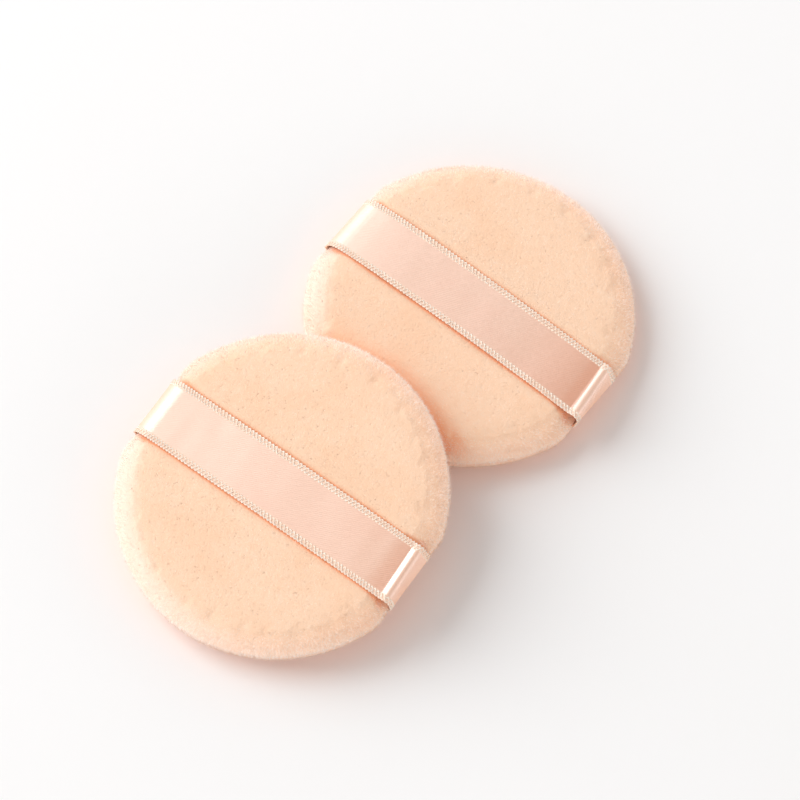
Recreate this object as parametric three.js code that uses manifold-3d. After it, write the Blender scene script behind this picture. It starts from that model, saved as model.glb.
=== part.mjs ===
// A pair of round velour powder puffs, each with a satin ribbon strap across its face.
// One puff lies flat and the other leans on its rim. Millimetres, +Z up.
// The origin is the middle of the flat puff's resting face, and +X runs from the leaning puff to the flat one.
import * as THREE from "three";
import { mergeVertices } from "three/addons/utils/BufferGeometryUtils.js";
import Module from "manifold-3d";

// One puff
const puffDiameter = 60;
const puffThickness = 8.6;
const crownRise = 0.35;
const velourThickness = 1.2;

// The rim seam, with both seam allowances turned in
const seamAllowance = 4.2;
const allowanceThickness = 1.0;
const seamGrooveDepth = 0.75;
const seamGrooveWidth = 1.2;

// The lockstitch along the seam, sunk in a channel pressed into each allowance
const threadDiameter = 0.3;
const threadClearance = 0.2;
const stitchLength = 3.7;
const stitchRise = 0.25;
const stitchChannelWidth = 1.2;
const stitchChannelDepth = 0.45;

// The hand-sewn closing of the opening through which the puff is turned and filled
const closingLength = 18;
const closingStitchLength = 1.5;
const closingSway = 0.1;
const closingInset = 0.25;

// The ribbon strap. Its end towards +Y bends round the rim, and its end towards -Y is creased to a crest where it
// drops to the seam. The drop leans in from upright.
const ribbonWidth = 11.8;
const ribbonThickness = 0.24;
const ribbonTail = 3.6;
const seamBendRadius = 0.7;
const creaseRise = 0.1;
const creaseRadius = 0.5;
const creaseReach = 1.3;
const dropLean = THREE.MathUtils.degToRad(16);

// How far the strap's two ends draw the soft rim in
const pullDepth = 1.7;
const pullHalfWidth = 3;
const pullFade = 8;
const pullReach = 12;

// How the two puffs lie
const puffOverlap = 9.5;
const rearRibbonTurn = THREE.MathUtils.degToRad(3);
const frontRibbonTurn = THREE.MathUtils.degToRad(4.5);

// Fit between touching pieces, and the overrun of a cut
const touchingGap = 0.3;
const cutOverrun = 1;

// Facets
const coverSegments = 48;
const coreSegments = 32;
const crownSteps = 3;
const innerCrownSteps = 2;
const rimSteps = 6;
const innerRimSteps = 3;
const threadSides = 4;
const stepsPerStitch = 2;
const strapWidthSteps = 6;
const strapFaceSteps = 6;
const strapRimSteps = 9;
const strapArcSteps = 4;
const strapDropSteps = 2;
const bisections = 40;

// Sizes that follow. Heights in a puff are counted from the middle plane of its seam.
const puffRadius = puffDiameter / 2;
const midHeight = puffThickness / 2;
const faceRimRadius = midHeight - crownRise;
const powderRimRadius = midHeight;
const faceRimCentre = puffRadius - faceRimRadius;
const powderRimCentre = puffRadius - powderRimRadius;
const seamHalfGap = touchingGap / 2;
const mouthRadius = puffRadius - seamGrooveDepth;
const allowanceInnerRadius = mouthRadius - seamAllowance;
const allowanceTop = seamHalfGap + allowanceThickness;
const channelFloor = allowanceTop - stitchChannelDepth;
const threadRadius = threadDiameter / 2;
const threadLow = channelFloor + threadClearance + threadRadius;
const threadTop = threadLow + stitchRise + threadRadius;
const coreGrooveHeight = Math.max(threadTop, allowanceTop) + touchingGap;
const strapRadius = faceRimRadius + touchingGap + ribbonThickness / 2;
const creaseHeight = strapRadius + creaseRise;
const centreSpacing = puffDiameter - puffOverlap;

const wasm = await Module();
wasm.setup();

// A closed geometry as a solid that can be cut.
function solidOf(geometry) {
  const bare = geometry.clone();
  bare.deleteAttribute("normal");
  bare.deleteAttribute("uv");
  const merged = mergeVertices(bare);
  return new wasm.Manifold(
    new wasm.Mesh({
      numProp: 3,
      vertProperties: merged.getAttribute("position").array,
      triVerts: new Uint32Array(merged.index.array),
    }),
  );
}

// A cut solid as a geometry again.
function geometryOf(solid) {
  const mesh = solid.getMesh();
  const geometry = new THREE.BufferGeometry();
  geometry.setAttribute("position", new THREE.BufferAttribute(mesh.vertProperties, mesh.numProp));
  geometry.setIndex(new THREE.BufferAttribute(mesh.triVerts, 1));
  geometry.computeVertexNormals();
  return geometry;
}

// Points of an arc, from one angle to another, both included.
function arcPoints(centreX, centreY, radius, from, to, steps) {
  const points = [];
  for (let step = 0; step <= steps; step++) {
    const angle = from + ((to - from) * step) / steps;
    points.push(new THREE.Vector2(centreX + radius * Math.cos(angle), centreY + radius * Math.sin(angle)));
  }
  return points;
}

// How far the middle of a crowned face stands above its rim, at a distance from the axis.
function crownAt(distance, reach, rise) {
  const share = Math.min(distance / reach, 1);
  return rise * Math.cos((share * Math.PI) / 2) ** 2;
}

// Points of a crowned face from the axis outwards, its outermost point left to the rim's arc.
function crownPoints(reach, height, rise, steps) {
  if (rise === 0) return [new THREE.Vector2(0, height)];
  const points = [];
  for (let step = 0; step < steps; step++) {
    const distance = (reach * step) / steps;
    points.push(new THREE.Vector2(distance, height + crownAt(distance, reach, rise)));
  }
  return points;
}

// Half of a puff's cover in section: the face, the round rim, the mouth of the seam, the turned-in allowance
// with its stitch channel, and the inner face.
function coverProfile(rimRadius, rise) {
  const rimCentre = puffRadius - rimRadius;
  const innerRadius = rimRadius - velourThickness;
  const lipAngle = Math.asin(seamGrooveWidth / 2 / rimRadius);
  const wallAngle = Math.asin(channelFloor / innerRadius);
  const wallRadius = rimCentre + innerRadius * Math.cos(wallAngle);
  const channelRadius = wallRadius - stitchChannelWidth;
  return [
    ...crownPoints(rimCentre, rimRadius, rise, crownSteps),
    ...arcPoints(rimCentre, 0, rimRadius, Math.PI / 2, lipAngle, rimSteps),
    new THREE.Vector2(mouthRadius, seamHalfGap),
    new THREE.Vector2(allowanceInnerRadius, seamHalfGap),
    new THREE.Vector2(allowanceInnerRadius, allowanceTop),
    new THREE.Vector2(channelRadius, allowanceTop),
    new THREE.Vector2(channelRadius, channelFloor),
    ...arcPoints(rimCentre, 0, innerRadius, wallAngle, Math.PI / 2, innerRimSteps),
    ...crownPoints(rimCentre, innerRadius, rise, innerCrownSteps).reverse(),
  ];
}

// The radius at which a cover's stitches run: the middle of its channel.
function stitchRadius(rimRadius) {
  const innerRadius = rimRadius - velourThickness;
  const wallRadius = puffRadius - rimRadius + Math.sqrt(innerRadius ** 2 - channelFloor ** 2);
  return wallRadius - stitchChannelWidth / 2;
}

// Half of the sponge in section: its face, its round rim, and the groove that the allowances press into it.
function coreProfile(rimRadius, rise) {
  const rimCentre = puffRadius - rimRadius;
  const coreRadius = rimRadius - velourThickness - touchingGap;
  const lipAngle = Math.asin(coreGrooveHeight / coreRadius);
  return [
    ...crownPoints(rimCentre, coreRadius, rise, innerCrownSteps),
    ...arcPoints(rimCentre, 0, coreRadius, Math.PI / 2, lipAngle, innerRimSteps),
    new THREE.Vector2(allowanceInnerRadius - touchingGap, coreGrooveHeight),
  ];
}

// A profile mirrored in the middle plane of the seam, in the order that keeps its outside out.
function mirrored(profile) {
  return profile.map((point) => new THREE.Vector2(point.x, -point.y)).reverse();
}

// A profile turned round the puff's axis, standing on the resting face. Profiles run from the top down, and the
// lathe takes them from the bottom up.
function turned(profile, segments) {
  const geometry = new THREE.LatheGeometry([...profile].reverse(), segments);
  geometry.rotateX(Math.PI / 2);
  geometry.translate(0, 0, midHeight);
  return geometry;
}

// A puff's geometry drawn in, along the strap, where the strap's two ends pull on the rim: in full up to half the
// width given, and then less and less.
function pulledIn(geometry, halfWidth) {
  const position = geometry.getAttribute("position");
  for (let index = 0; index < position.count; index++) {
    const y = position.getY(index);
    const outwards = THREE.MathUtils.smoothstep(Math.abs(y), puffRadius - pullReach, puffRadius);
    const fade = THREE.MathUtils.smoothstep(Math.abs(position.getX(index)), halfWidth, halfWidth + pullFade);
    position.setY(index, y - Math.sign(y) * pullDepth * outwards * (1 - fade));
  }
  geometry.computeVertexNormals();
  return geometry;
}

// The height of the strap's creased end at a distance from the middle of the puff: it follows the rim and climbs
// to the crest.
function creasedHeight(distance, crestX) {
  const rimHeight = Math.sqrt(strapRadius ** 2 - (distance - faceRimCentre) ** 2);
  const climb = THREE.MathUtils.smoothstep(distance, crestX - creaseReach, crestX);
  return rimHeight + (creaseHeight - rimHeight) * climb;
}

// The strap's creased end from the edge of the face to the bend at the seam.
function creasedRimPoints(bendAngle) {
  const crestY = creaseHeight - creaseRadius;
  const crestReach = (strapRadius - creaseRadius - crestY * Math.sin(dropLean)) / Math.cos(dropLean);
  const crestX = faceRimCentre + crestReach;
  const points = [];
  for (let step = 0; step < strapRimSteps; step++) {
    const distance = faceRimCentre + (crestReach * step) / strapRimSteps;
    points.push(new THREE.Vector2(distance, creasedHeight(distance, crestX)));
  }
  points.push(...arcPoints(crestX, crestY, creaseRadius, Math.PI / 2, dropLean, strapArcSteps));
  points.push(...arcPoints(faceRimCentre, 0, strapRadius, dropLean, bendAngle, strapDropSteps));
  return points;
}

// The middle line of half a strap, from the middle of the puff to its end in the seam.
function halfStrapLine(creased) {
  const bendReach = Math.sqrt((strapRadius - seamBendRadius) ** 2 - seamBendRadius ** 2);
  const bendAngle = Math.atan2(seamBendRadius, bendReach);
  const bendX = faceRimCentre + bendReach;
  const line = [];
  for (let step = 0; step < strapFaceSteps; step++) {
    const distance = (faceRimCentre * step) / strapFaceSteps;
    line.push(new THREE.Vector2(distance, strapRadius + crownAt(distance, faceRimCentre, crownRise)));
  }
  if (creased) line.push(...creasedRimPoints(bendAngle));
  else line.push(...arcPoints(faceRimCentre, 0, strapRadius, Math.PI / 2, bendAngle, strapRimSteps));
  const bend = arcPoints(bendX, seamBendRadius, seamBendRadius, bendAngle, -Math.PI / 2, strapArcSteps);
  line.push(...bend.slice(1));
  line.push(new THREE.Vector2(mouthRadius - ribbonTail, 0));
  return line;
}

// The strap from end to end, as a ribbon of even thickness about its middle line.
function ribbonGeometry() {
  const rounded = halfStrapLine(false);
  const creased = halfStrapLine(true).map((point) => new THREE.Vector2(-point.x, point.y));
  const line = [...creased.slice(1).reverse(), ...rounded];
  const above = [];
  const below = [];
  line.forEach((point, index) => {
    const before = line[Math.max(index - 1, 0)];
    const after = line[Math.min(index + 1, line.length - 1)];
    const along = after.clone().sub(before).normalize();
    const across = new THREE.Vector2(-along.y, along.x).multiplyScalar(ribbonThickness / 2);
    above.push(point.clone().add(across));
    below.push(point.clone().sub(across));
  });
  const section = new THREE.Shape([...above, ...below.reverse()]);
  const geometry = new THREE.ExtrudeGeometry(section, {
    depth: ribbonWidth,
    steps: strapWidthSteps,
    bevelEnabled: false,
  });
  geometry.translate(0, 0, -ribbonWidth / 2);
  const xAxis = new THREE.Vector3(1, 0, 0);
  const yAxis = new THREE.Vector3(0, 1, 0);
  const zAxis = new THREE.Vector3(0, 0, 1);
  geometry.applyMatrix4(new THREE.Matrix4().makeBasis(yAxis, zAxis, xAxis));
  geometry.translate(0, 0, midHeight);
  return geometry;
}

// The room that the ribbon's two ends take between the allowances.
function ribbonSlots() {
  const inner = allowanceInnerRadius - cutOverrun;
  const length = puffRadius + cutOverrun - inner;
  const slot = new THREE.BoxGeometry(
    ribbonWidth + 2 * touchingGap,
    length,
    ribbonThickness + 2 * touchingGap,
  );
  slot.translate(0, inner + length / 2, midHeight);
  const opposite = slot.clone().rotateZ(Math.PI);
  return solidOf(slot).add(solidOf(opposite));
}

// A cover with the ribbon's room cut out of its allowance.
function coverGeometry(profile) {
  return geometryOf(solidOf(turned(profile, coverSegments)).subtract(ribbonSlots()));
}

// One thread of the lockstitch: a ring that dips to the cloth at each needle hole and rises between the holes.
// side is 1 over the allowance of the face cover and -1 under that of the powder cover.
function stitchGeometry(radius, side) {
  const stitches = Math.round((2 * Math.PI * radius) / stitchLength);
  const geometry = new THREE.TorusGeometry(radius, threadRadius, threadSides, stitches * stepsPerStitch);
  const position = geometry.getAttribute("position");
  for (let index = 0; index < position.count; index++) {
    const angle = Math.atan2(position.getY(index), position.getX(index));
    const rise = (stitchRise * (1 - Math.cos(angle * stitches))) / 2;
    position.setZ(index, position.getZ(index) + side * (threadLow + rise));
  }
  geometry.translate(0, 0, midHeight);
  return geometry;
}

// The closing thread: stitches that cross from lip to lip in the groove of the rim.
function closingGeometry() {
  const radius = puffRadius - closingInset;
  const stitches = Math.round(closingLength / closingStitchLength);
  const steps = stitches * stepsPerStitch;
  const points = [];
  for (let step = 0; step <= steps; step++) {
    const angle = (closingLength / radius) * (step / steps - 1 / 2);
    const sway = step % 2 === 0 ? closingSway : -closingSway;
    points.push(new THREE.Vector3(radius * Math.cos(angle), radius * Math.sin(angle), midHeight + sway));
  }
  const section = new THREE.Shape();
  section.absarc(0, 0, threadRadius, 0, 2 * Math.PI);
  return new THREE.ExtrudeGeometry(section, {
    extrudePath: new THREE.CatmullRomCurve3(points),
    steps,
    curveSegments: threadSides / 2,
  });
}

// The angle at which the leaning puff's powder face rests on the flat puff's rim while its own far edge stays
// on the ground.
function leaningAngle() {
  const standOff = powderRimRadius + faceRimRadius + touchingGap;
  let low = 0;
  let high = Math.PI / 4;
  for (let step = 0; step < bisections; step++) {
    const angle = (low + high) / 2;
    const reach = centreSpacing - faceRimCentre + powderRimCentre * Math.cos(angle);
    if (Math.sin(angle) * reach < standOff) low = angle;
    else high = angle;
  }
  return (low + high) / 2;
}

const velour = new THREE.MeshStandardMaterial({ color: 0xfbd7b6, roughness: 0.95, metalness: 0 });
const satin = new THREE.MeshStandardMaterial({ color: 0xf8d2bd, roughness: 0.4, metalness: 0 });
const sponge = new THREE.MeshStandardMaterial({ color: 0xfbeedd, roughness: 0.9, metalness: 0 });
const sewingThread = new THREE.MeshStandardMaterial({ color: 0xf3c9a4, roughness: 0.6, metalness: 0 });

// One puff, lying on its powder face with its strap along Y. closingTurn says where its closing lies.
function makePuff(name, closingTurn) {
  const puff = new THREE.Group();
  const faceProfile = coverProfile(faceRimRadius, crownRise);
  const powderProfile = mirrored(coverProfile(powderRimRadius, 0));
  const sponges = [...coreProfile(faceRimRadius, crownRise), ...mirrored(coreProfile(powderRimRadius, 0))];
  const pieces = [
    ["foam_core", turned(sponges, coreSegments), sponge],
    ["powder_cover", coverGeometry(powderProfile), velour],
    ["face_cover", coverGeometry(faceProfile), velour],
    ["needle_thread", stitchGeometry(stitchRadius(faceRimRadius), 1), sewingThread],
    ["bobbin_thread", stitchGeometry(stitchRadius(powderRimRadius), -1), sewingThread],
    ["closing_thread", closingGeometry().rotateZ(closingTurn), sewingThread],
    ["ribbon", ribbonGeometry(), satin],
  ];
  for (const [piece, geometry, material] of pieces) {
    const halfWidth = piece === "ribbon" ? ribbonWidth / 2 : pullHalfWidth;
    const mesh = new THREE.Mesh(pulledIn(geometry, halfWidth), material);
    mesh.name = `${name}_${piece}`;
    puff.add(mesh);
  }
  return puff;
}

const puffPair = new THREE.Group();

const rearPuff = makePuff("rear", 0);
rearPuff.rotation.z = rearRibbonTurn;
puffPair.add(rearPuff);

// The leaning puff turns about the middle of its seam plane.
const lean = leaningAngle();
const leaningPuff = new THREE.Group();
leaningPuff.position.set(-centreSpacing, 0, powderRimRadius + powderRimCentre * Math.sin(lean));
leaningPuff.rotation.y = -lean;
const frontPuff = makePuff("front", Math.PI);
frontPuff.position.z = -midHeight;
frontPuff.rotation.z = frontRibbonTurn;
leaningPuff.add(frontPuff);
puffPair.add(leaningPuff);

export default puffPair;
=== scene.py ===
"""A pair of round velour powder puffs with satin ribbon straps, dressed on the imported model.

One puff lies flat and the other leans on its rim. Each puff is shaped in its own frame, in millimetres: heights are
counted from the middle plane of its rim seam, and its strap lies along Y. It is then placed in the model's frame, in
metres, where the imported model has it.
"""

import logging
import math
from dataclasses import dataclass, field
from enum import Enum

import bpy
import numpy as np
from mathutils import Matrix, Vector


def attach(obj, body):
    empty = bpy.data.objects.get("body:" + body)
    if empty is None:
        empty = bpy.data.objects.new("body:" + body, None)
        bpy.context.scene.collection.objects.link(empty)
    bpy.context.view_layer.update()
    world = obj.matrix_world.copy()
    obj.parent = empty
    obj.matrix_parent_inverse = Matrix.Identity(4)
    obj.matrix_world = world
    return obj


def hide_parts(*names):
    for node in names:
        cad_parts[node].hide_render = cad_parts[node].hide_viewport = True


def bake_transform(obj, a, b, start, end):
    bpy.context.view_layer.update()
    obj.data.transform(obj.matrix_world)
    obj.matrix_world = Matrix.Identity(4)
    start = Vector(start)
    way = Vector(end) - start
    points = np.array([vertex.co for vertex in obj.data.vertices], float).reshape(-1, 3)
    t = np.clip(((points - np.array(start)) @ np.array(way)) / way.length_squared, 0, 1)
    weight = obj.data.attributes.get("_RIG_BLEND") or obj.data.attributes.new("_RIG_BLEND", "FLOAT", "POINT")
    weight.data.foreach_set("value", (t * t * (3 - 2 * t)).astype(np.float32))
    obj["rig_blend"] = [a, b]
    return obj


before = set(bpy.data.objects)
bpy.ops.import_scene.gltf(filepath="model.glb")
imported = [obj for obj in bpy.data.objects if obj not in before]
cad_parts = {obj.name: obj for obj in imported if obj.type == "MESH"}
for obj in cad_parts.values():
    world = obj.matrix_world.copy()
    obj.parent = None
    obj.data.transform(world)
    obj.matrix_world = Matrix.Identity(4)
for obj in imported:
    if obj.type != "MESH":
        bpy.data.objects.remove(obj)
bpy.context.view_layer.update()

log = logging.getLogger("powder_puffs")
MILLIMETRE = 0.001
TINY = 1e-9
Socket = bpy.types.NodeSocket
# By how many numbers a socket's value has.
SOCKET_KINDS = {1: "NodeSocketFloat", 3: "NodeSocketVector", 4: "NodeSocketColor"}
WHITE = (1.0, 1.0, 1.0, 1.0)


class Side(Enum):
    """The two sides of a puff, by the sign of their heights."""

    FACE = 1
    POWDER = -1


class StrapEnd(Enum):
    """How an end of the strap reaches the seam, by the sign of the Y at which it lies."""

    ROUNDED = 1
    CREASED = -1


def smoothstep(value: np.ndarray, low: float, high: float) -> np.ndarray:
    """A share that rises softly from 0 at low to 1 at high.

    Args:
        value: The numbers to place between the two.
        low: Where the rise starts.
        high: Where the rise ends.

    Returns:
        The shares, from 0 to 1.
    """
    share = np.clip((np.asarray(value, float) - low) / (high - low), 0, 1)
    return share * share * (3 - 2 * share)


def unit(vectors: np.ndarray) -> np.ndarray:
    """Vectors brought to a length of 1."""
    return vectors / np.linalg.norm(vectors, axis=-1, keepdims=True)


def run_along(line: np.ndarray) -> np.ndarray:
    """The length of a line up to each of its points."""
    return np.concatenate([[0], np.cumsum(np.linalg.norm(np.diff(line, axis=0), axis=1))])


def ring(radius: float | np.ndarray, angle: np.ndarray, height: float | np.ndarray) -> np.ndarray:
    """Points round Z, from their radii, angles and heights."""
    return np.stack(np.broadcast_arrays(radius * np.cos(angle), radius * np.sin(angle), height), axis=-1)


def full_turn(count: int) -> np.ndarray:
    """Even angles round a full turn."""
    return 2 * math.pi * np.arange(count) / count


def arc(x: float, y: float, radius: float, start: float, end: float, steps: int) -> list[tuple[float, float]]:
    """Points of an arc in section, both ends included."""
    return [(x + radius * math.cos(a), y + radius * math.sin(a)) for a in np.linspace(start, end, steps + 1)]


def band(first: range | list[int], second: range | list[int]) -> list[tuple[int, ...]]:
    """The faces between two closed rings that have as many points, by point number."""
    after = [*range(1, len(first)), 0]
    return [(first[k], second[k], second[n], first[n]) for k, n in enumerate(after)]


def turned_over(faces: list) -> list:
    """Faces that look the other way."""
    return [tuple(reversed(f)) for f in faces]


class SoftNoise:
    """Smooth seeded noise over space, from -1 to 1."""

    CELLS = 4096

    def __init__(self, seed: int) -> None:
        """Draws the values and the shuffle that the noise is read from."""
        draw = np.random.default_rng(seed)
        self.values = draw.uniform(-1, 1, self.CELLS)
        self.shuffle = draw.permutation(self.CELLS)

    def at(self, points: np.ndarray, size: float) -> np.ndarray:
        """The noise at points.

        Args:
            points: The points, three numbers each.
            size: How far apart the noise's own points lie.

        Returns:
            One number for each point.
        """
        place = np.asarray(points, float) / size
        cell = np.floor(place).astype(int)
        share = smoothstep(place - cell, 0, 1)
        total = np.zeros(len(place))
        for corner in range(8):
            step = np.array([corner & 1, corner >> 1 & 1, corner >> 2 & 1])
            slot = 0
            for key in (cell + step).T:
                slot = self.shuffle[(slot + key) % self.CELLS]
            weight = np.prod(np.where(step, share, 1 - share), axis=1)
            total += weight * self.values[slot]
        return total

    def layered(self, points: np.ndarray, layers: tuple) -> np.ndarray:
        """The sum of several sizes of noise at points.

        Args:
            points: The points, three numbers each.
            layers: The size of each layer, its share, and how far its points are shifted.

        Returns:
            One number for each point.
        """
        return sum(share * self.at(points + shift, size) for size, share, shift in layers)


@dataclass(frozen=True)
class PuffForm:
    """The sizes that the pieces of a puff share, in millimetres."""

    radius: float = 30.0
    face_rim: float = 3.95
    powder_rim: float = 4.3
    crown: float = 0.35
    cloth: float = 1.2
    mouth_depth: float = 0.75
    mouth_width: float = 1.2
    seam_half_gap: float = 0.15
    allowance_reach: float = 4.2
    allowance_top: float = 1.15
    gap: float = 0.3
    pull_depth: float = 1.7
    pull_half_width: float = 3.0
    pull_fade: float = 8.0
    pull_reach: float = 12.0
    bow_end: float = 28.5

    @property
    def mouth_radius(self) -> float:
        """The radius at which the two covers meet."""
        return self.radius - self.mouth_depth

    def rim(self, side: Side) -> float:
        """The radius of the round rim on one side."""
        return self.face_rim if side is Side.FACE else self.powder_rim

    def rise(self, side: Side) -> float:
        """How far the middle of one side stands above its rim."""
        return self.crown if side is Side.FACE else 0.0

    def crown_at(self, distance: np.ndarray, side: Side) -> np.ndarray:
        """How far a face stands above its rim at a distance from the axis."""
        share = np.minimum(np.asarray(distance, float) / (self.radius - self.rim(side)), 1)
        return self.rise(side) * np.cos(share * math.pi / 2) ** 2

    def bow_at(self, along: np.ndarray, rise: float) -> np.ndarray:
        """How far the strap bows up at a distance along it from the puff's middle, given its rise there."""
        return rise * np.maximum(1 - (np.abs(along) / self.bow_end) ** 3, 0)

    def pulled(self, points: np.ndarray, half_width: float) -> np.ndarray:
        """Points drawn in where the strap's two ends pull on the soft rim.

        Args:
            points: Points in the puff's frame.
            half_width: How far from the strap's line the pull is in full.

        Returns:
            The points, drawn in along the strap.
        """
        moved = np.array(points, float)
        outwards = smoothstep(np.abs(moved[:, 1]), self.radius - self.pull_reach, self.radius)
        fade = smoothstep(np.abs(moved[:, 0]), half_width, half_width + self.pull_fade)
        moved[:, 1] -= np.sign(moved[:, 1]) * self.pull_depth * outwards * (1 - fade)
        return moved


@dataclass(frozen=True)
class Placement:
    """Where a puff lies in the model's frame: lengths in millimetres, angles in degrees."""

    name: str
    body: str
    strap_body: str
    offset: tuple[float, float, float]
    lean: float
    turn: float
    closing_turn: float
    seed: int

    @property
    def matrix(self) -> Matrix:
        """The matrix from the puff's millimetres to the model's metres."""
        lift = Matrix.Translation(Vector(self.offset))
        tilt = Matrix.Rotation(-math.radians(self.lean), 4, "Y")
        spin = Matrix.Rotation(math.radians(self.turn), 4, "Z")
        return Matrix.Scale(MILLIMETRE, 4) @ lift @ tilt @ spin

    def placed(self, points: np.ndarray) -> np.ndarray:
        """Points of the puff's frame, in the model's frame."""
        matrix = np.array(self.matrix)
        return np.asarray(points, float) @ matrix[:3, :3].T + matrix[:3, 3]

    def point(self, x: float, y: float, z: float) -> tuple[float, float, float]:
        """One point of the puff's frame, in the model's frame."""
        return tuple(self.placed(np.array([[x, y, z]]))[0])


def mesh_piece(name: str, points: np.ndarray, faces: list, material: bpy.types.Material | None = None,
               sharp: list | None = None) -> bpy.types.Object:
    """A smooth-shaded mesh object.

    Args:
        name: The object's name.
        points: Its vertices, in metres.
        faces: The vertex numbers of each face.
        material: The finish, if it has one.
        sharp: The numbers of the faces whose edges are marked sharp.

    Returns:
        The new object, linked to the scene.
    """
    mesh = bpy.data.meshes.new(name)
    mesh.from_pydata([tuple(p) for p in points], [], faces)
    mesh.update()
    mesh.polygons.foreach_set("use_smooth", np.ones(len(mesh.polygons), bool))
    cut = {key for number in sharp or [] for key in mesh.polygons[number].edge_keys}
    if cut:
        for edge in mesh.edges:
            edge.use_edge_sharp = edge.key in cut
    if material is not None:
        mesh.materials.append(material)
    piece = bpy.data.objects.new(name, mesh)
    bpy.context.scene.collection.objects.link(piece)
    return piece


def vertex_normals(points: np.ndarray, faces: list) -> np.ndarray:
    """The outward normal at each vertex of a mesh.

    Args:
        points: The vertices.
        faces: The vertex numbers of each face.

    Returns:
        One unit normal for each vertex.
    """
    mesh = bpy.data.meshes.new("normals")
    mesh.from_pydata([tuple(p) for p in points], [], faces)
    mesh.update()
    normals = np.zeros(len(points) * 3, np.float32)
    mesh.vertex_normals.foreach_get("vector", normals)
    bpy.data.meshes.remove(mesh)
    return normals.reshape(-1, 3).astype(float)


@dataclass
class DiscGrid:
    """A round patch of square cells, so that the cloth has no pole in its middle.

    Rings of cells grow from squares in the middle to circles at the edge: the outermost has 8 points for each step.
    """

    steps: int
    radius: float = 1.0

    def angle_share(self) -> tuple[np.ndarray, np.ndarray]:
        """The angle of each grid point, and its ring as a share of the radius."""
        count = np.arange(-self.steps, self.steps + 1)
        i, j = np.meshgrid(count, count, indexing="ij")
        ring = np.maximum(np.abs(i), np.abs(j))
        safe = np.maximum(ring, 1)
        angle = np.where(
            (i == ring) & (np.abs(j) <= ring), j / safe,
            np.where(
                (j == ring), 2 - i / safe,
                np.where((i == -ring), 4 - j / safe, -2 + i / safe),
            ),
        ) * math.pi / 4
        return angle, ring / self.steps

    def points(self) -> np.ndarray:
        """The grid's points, as an array of rows and columns of X and Y."""
        angle, share = self.angle_share()
        return np.stack([np.cos(angle), np.sin(angle)], axis=-1) * (share * self.radius)[..., None]

    def faces(self) -> list[tuple[int, ...]]:
        """The grid's cells, facing up."""
        side = 2 * self.steps + 1
        return [
            (a, a + side, a + side + 1, a + 1)
            for i in range(side - 1)
            for a in range(i * side, i * side + side - 1)
        ]

    def edge(self) -> list[int]:
        """The numbers of the outermost points, anticlockwise from +X."""
        side, n = 2 * self.steps + 1, self.steps
        spots = (
            [(n, j) for j in range(0, n)]
            + [(i, n) for i in range(n, -n, -1)]
            + [(-n, j) for j in range(n, -n, -1)]
            + [(i, -n) for i in range(-n, n)]
            + [(n, j) for j in range(-n, 0)]
        )
        return [(i + n) * side + (j + n) for i, j in spots]


def refined(values: np.ndarray, factor: int, closed: bool) -> np.ndarray:
    """Values on a coarse grid line, read smoothly at finer steps along the first axis.

    Args:
        values: The values, with the line along the first axis.
        factor: How many fine steps there are to a coarse one.
        closed: Whether the line runs round and meets its own start.

    Returns:
        The values at the fine steps.
    """
    count = len(values)
    spots = np.arange(count * factor if closed else (count - 1) * factor + 1) / factor
    base = np.floor(spots).astype(int)
    share = (spots - base).reshape((-1,) + (1,) * (values.ndim - 1))

    def near(shift: int) -> np.ndarray:
        """The coarse values a whole step away."""
        index = base + shift
        return values[index % count if closed else np.clip(index, 0, count - 1)]

    before, here, after, beyond = near(-1), near(0), near(1), near(2)
    return here + share / 2 * (
        after - before + share * (
            2 * before - 5 * here + 4 * after - beyond + share * (3 * (here - after) + beyond - before)
        )
    )


def refined_sheet(values: np.ndarray, factor: int, closed: bool) -> np.ndarray:
    """Values on a coarse grid of rows, read smoothly at finer steps both ways.

    Args:
        values: The values, with the rows along the first axis.
        factor: How many fine steps there are to a coarse one.
        closed: Whether each row runs round and meets its own start.

    Returns:
        The values at the fine steps.
    """
    rows = refined(values, factor, closed=False)
    return refined(rows.transpose(1, 0, 2), factor, closed).transpose(1, 0, 2)


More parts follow.
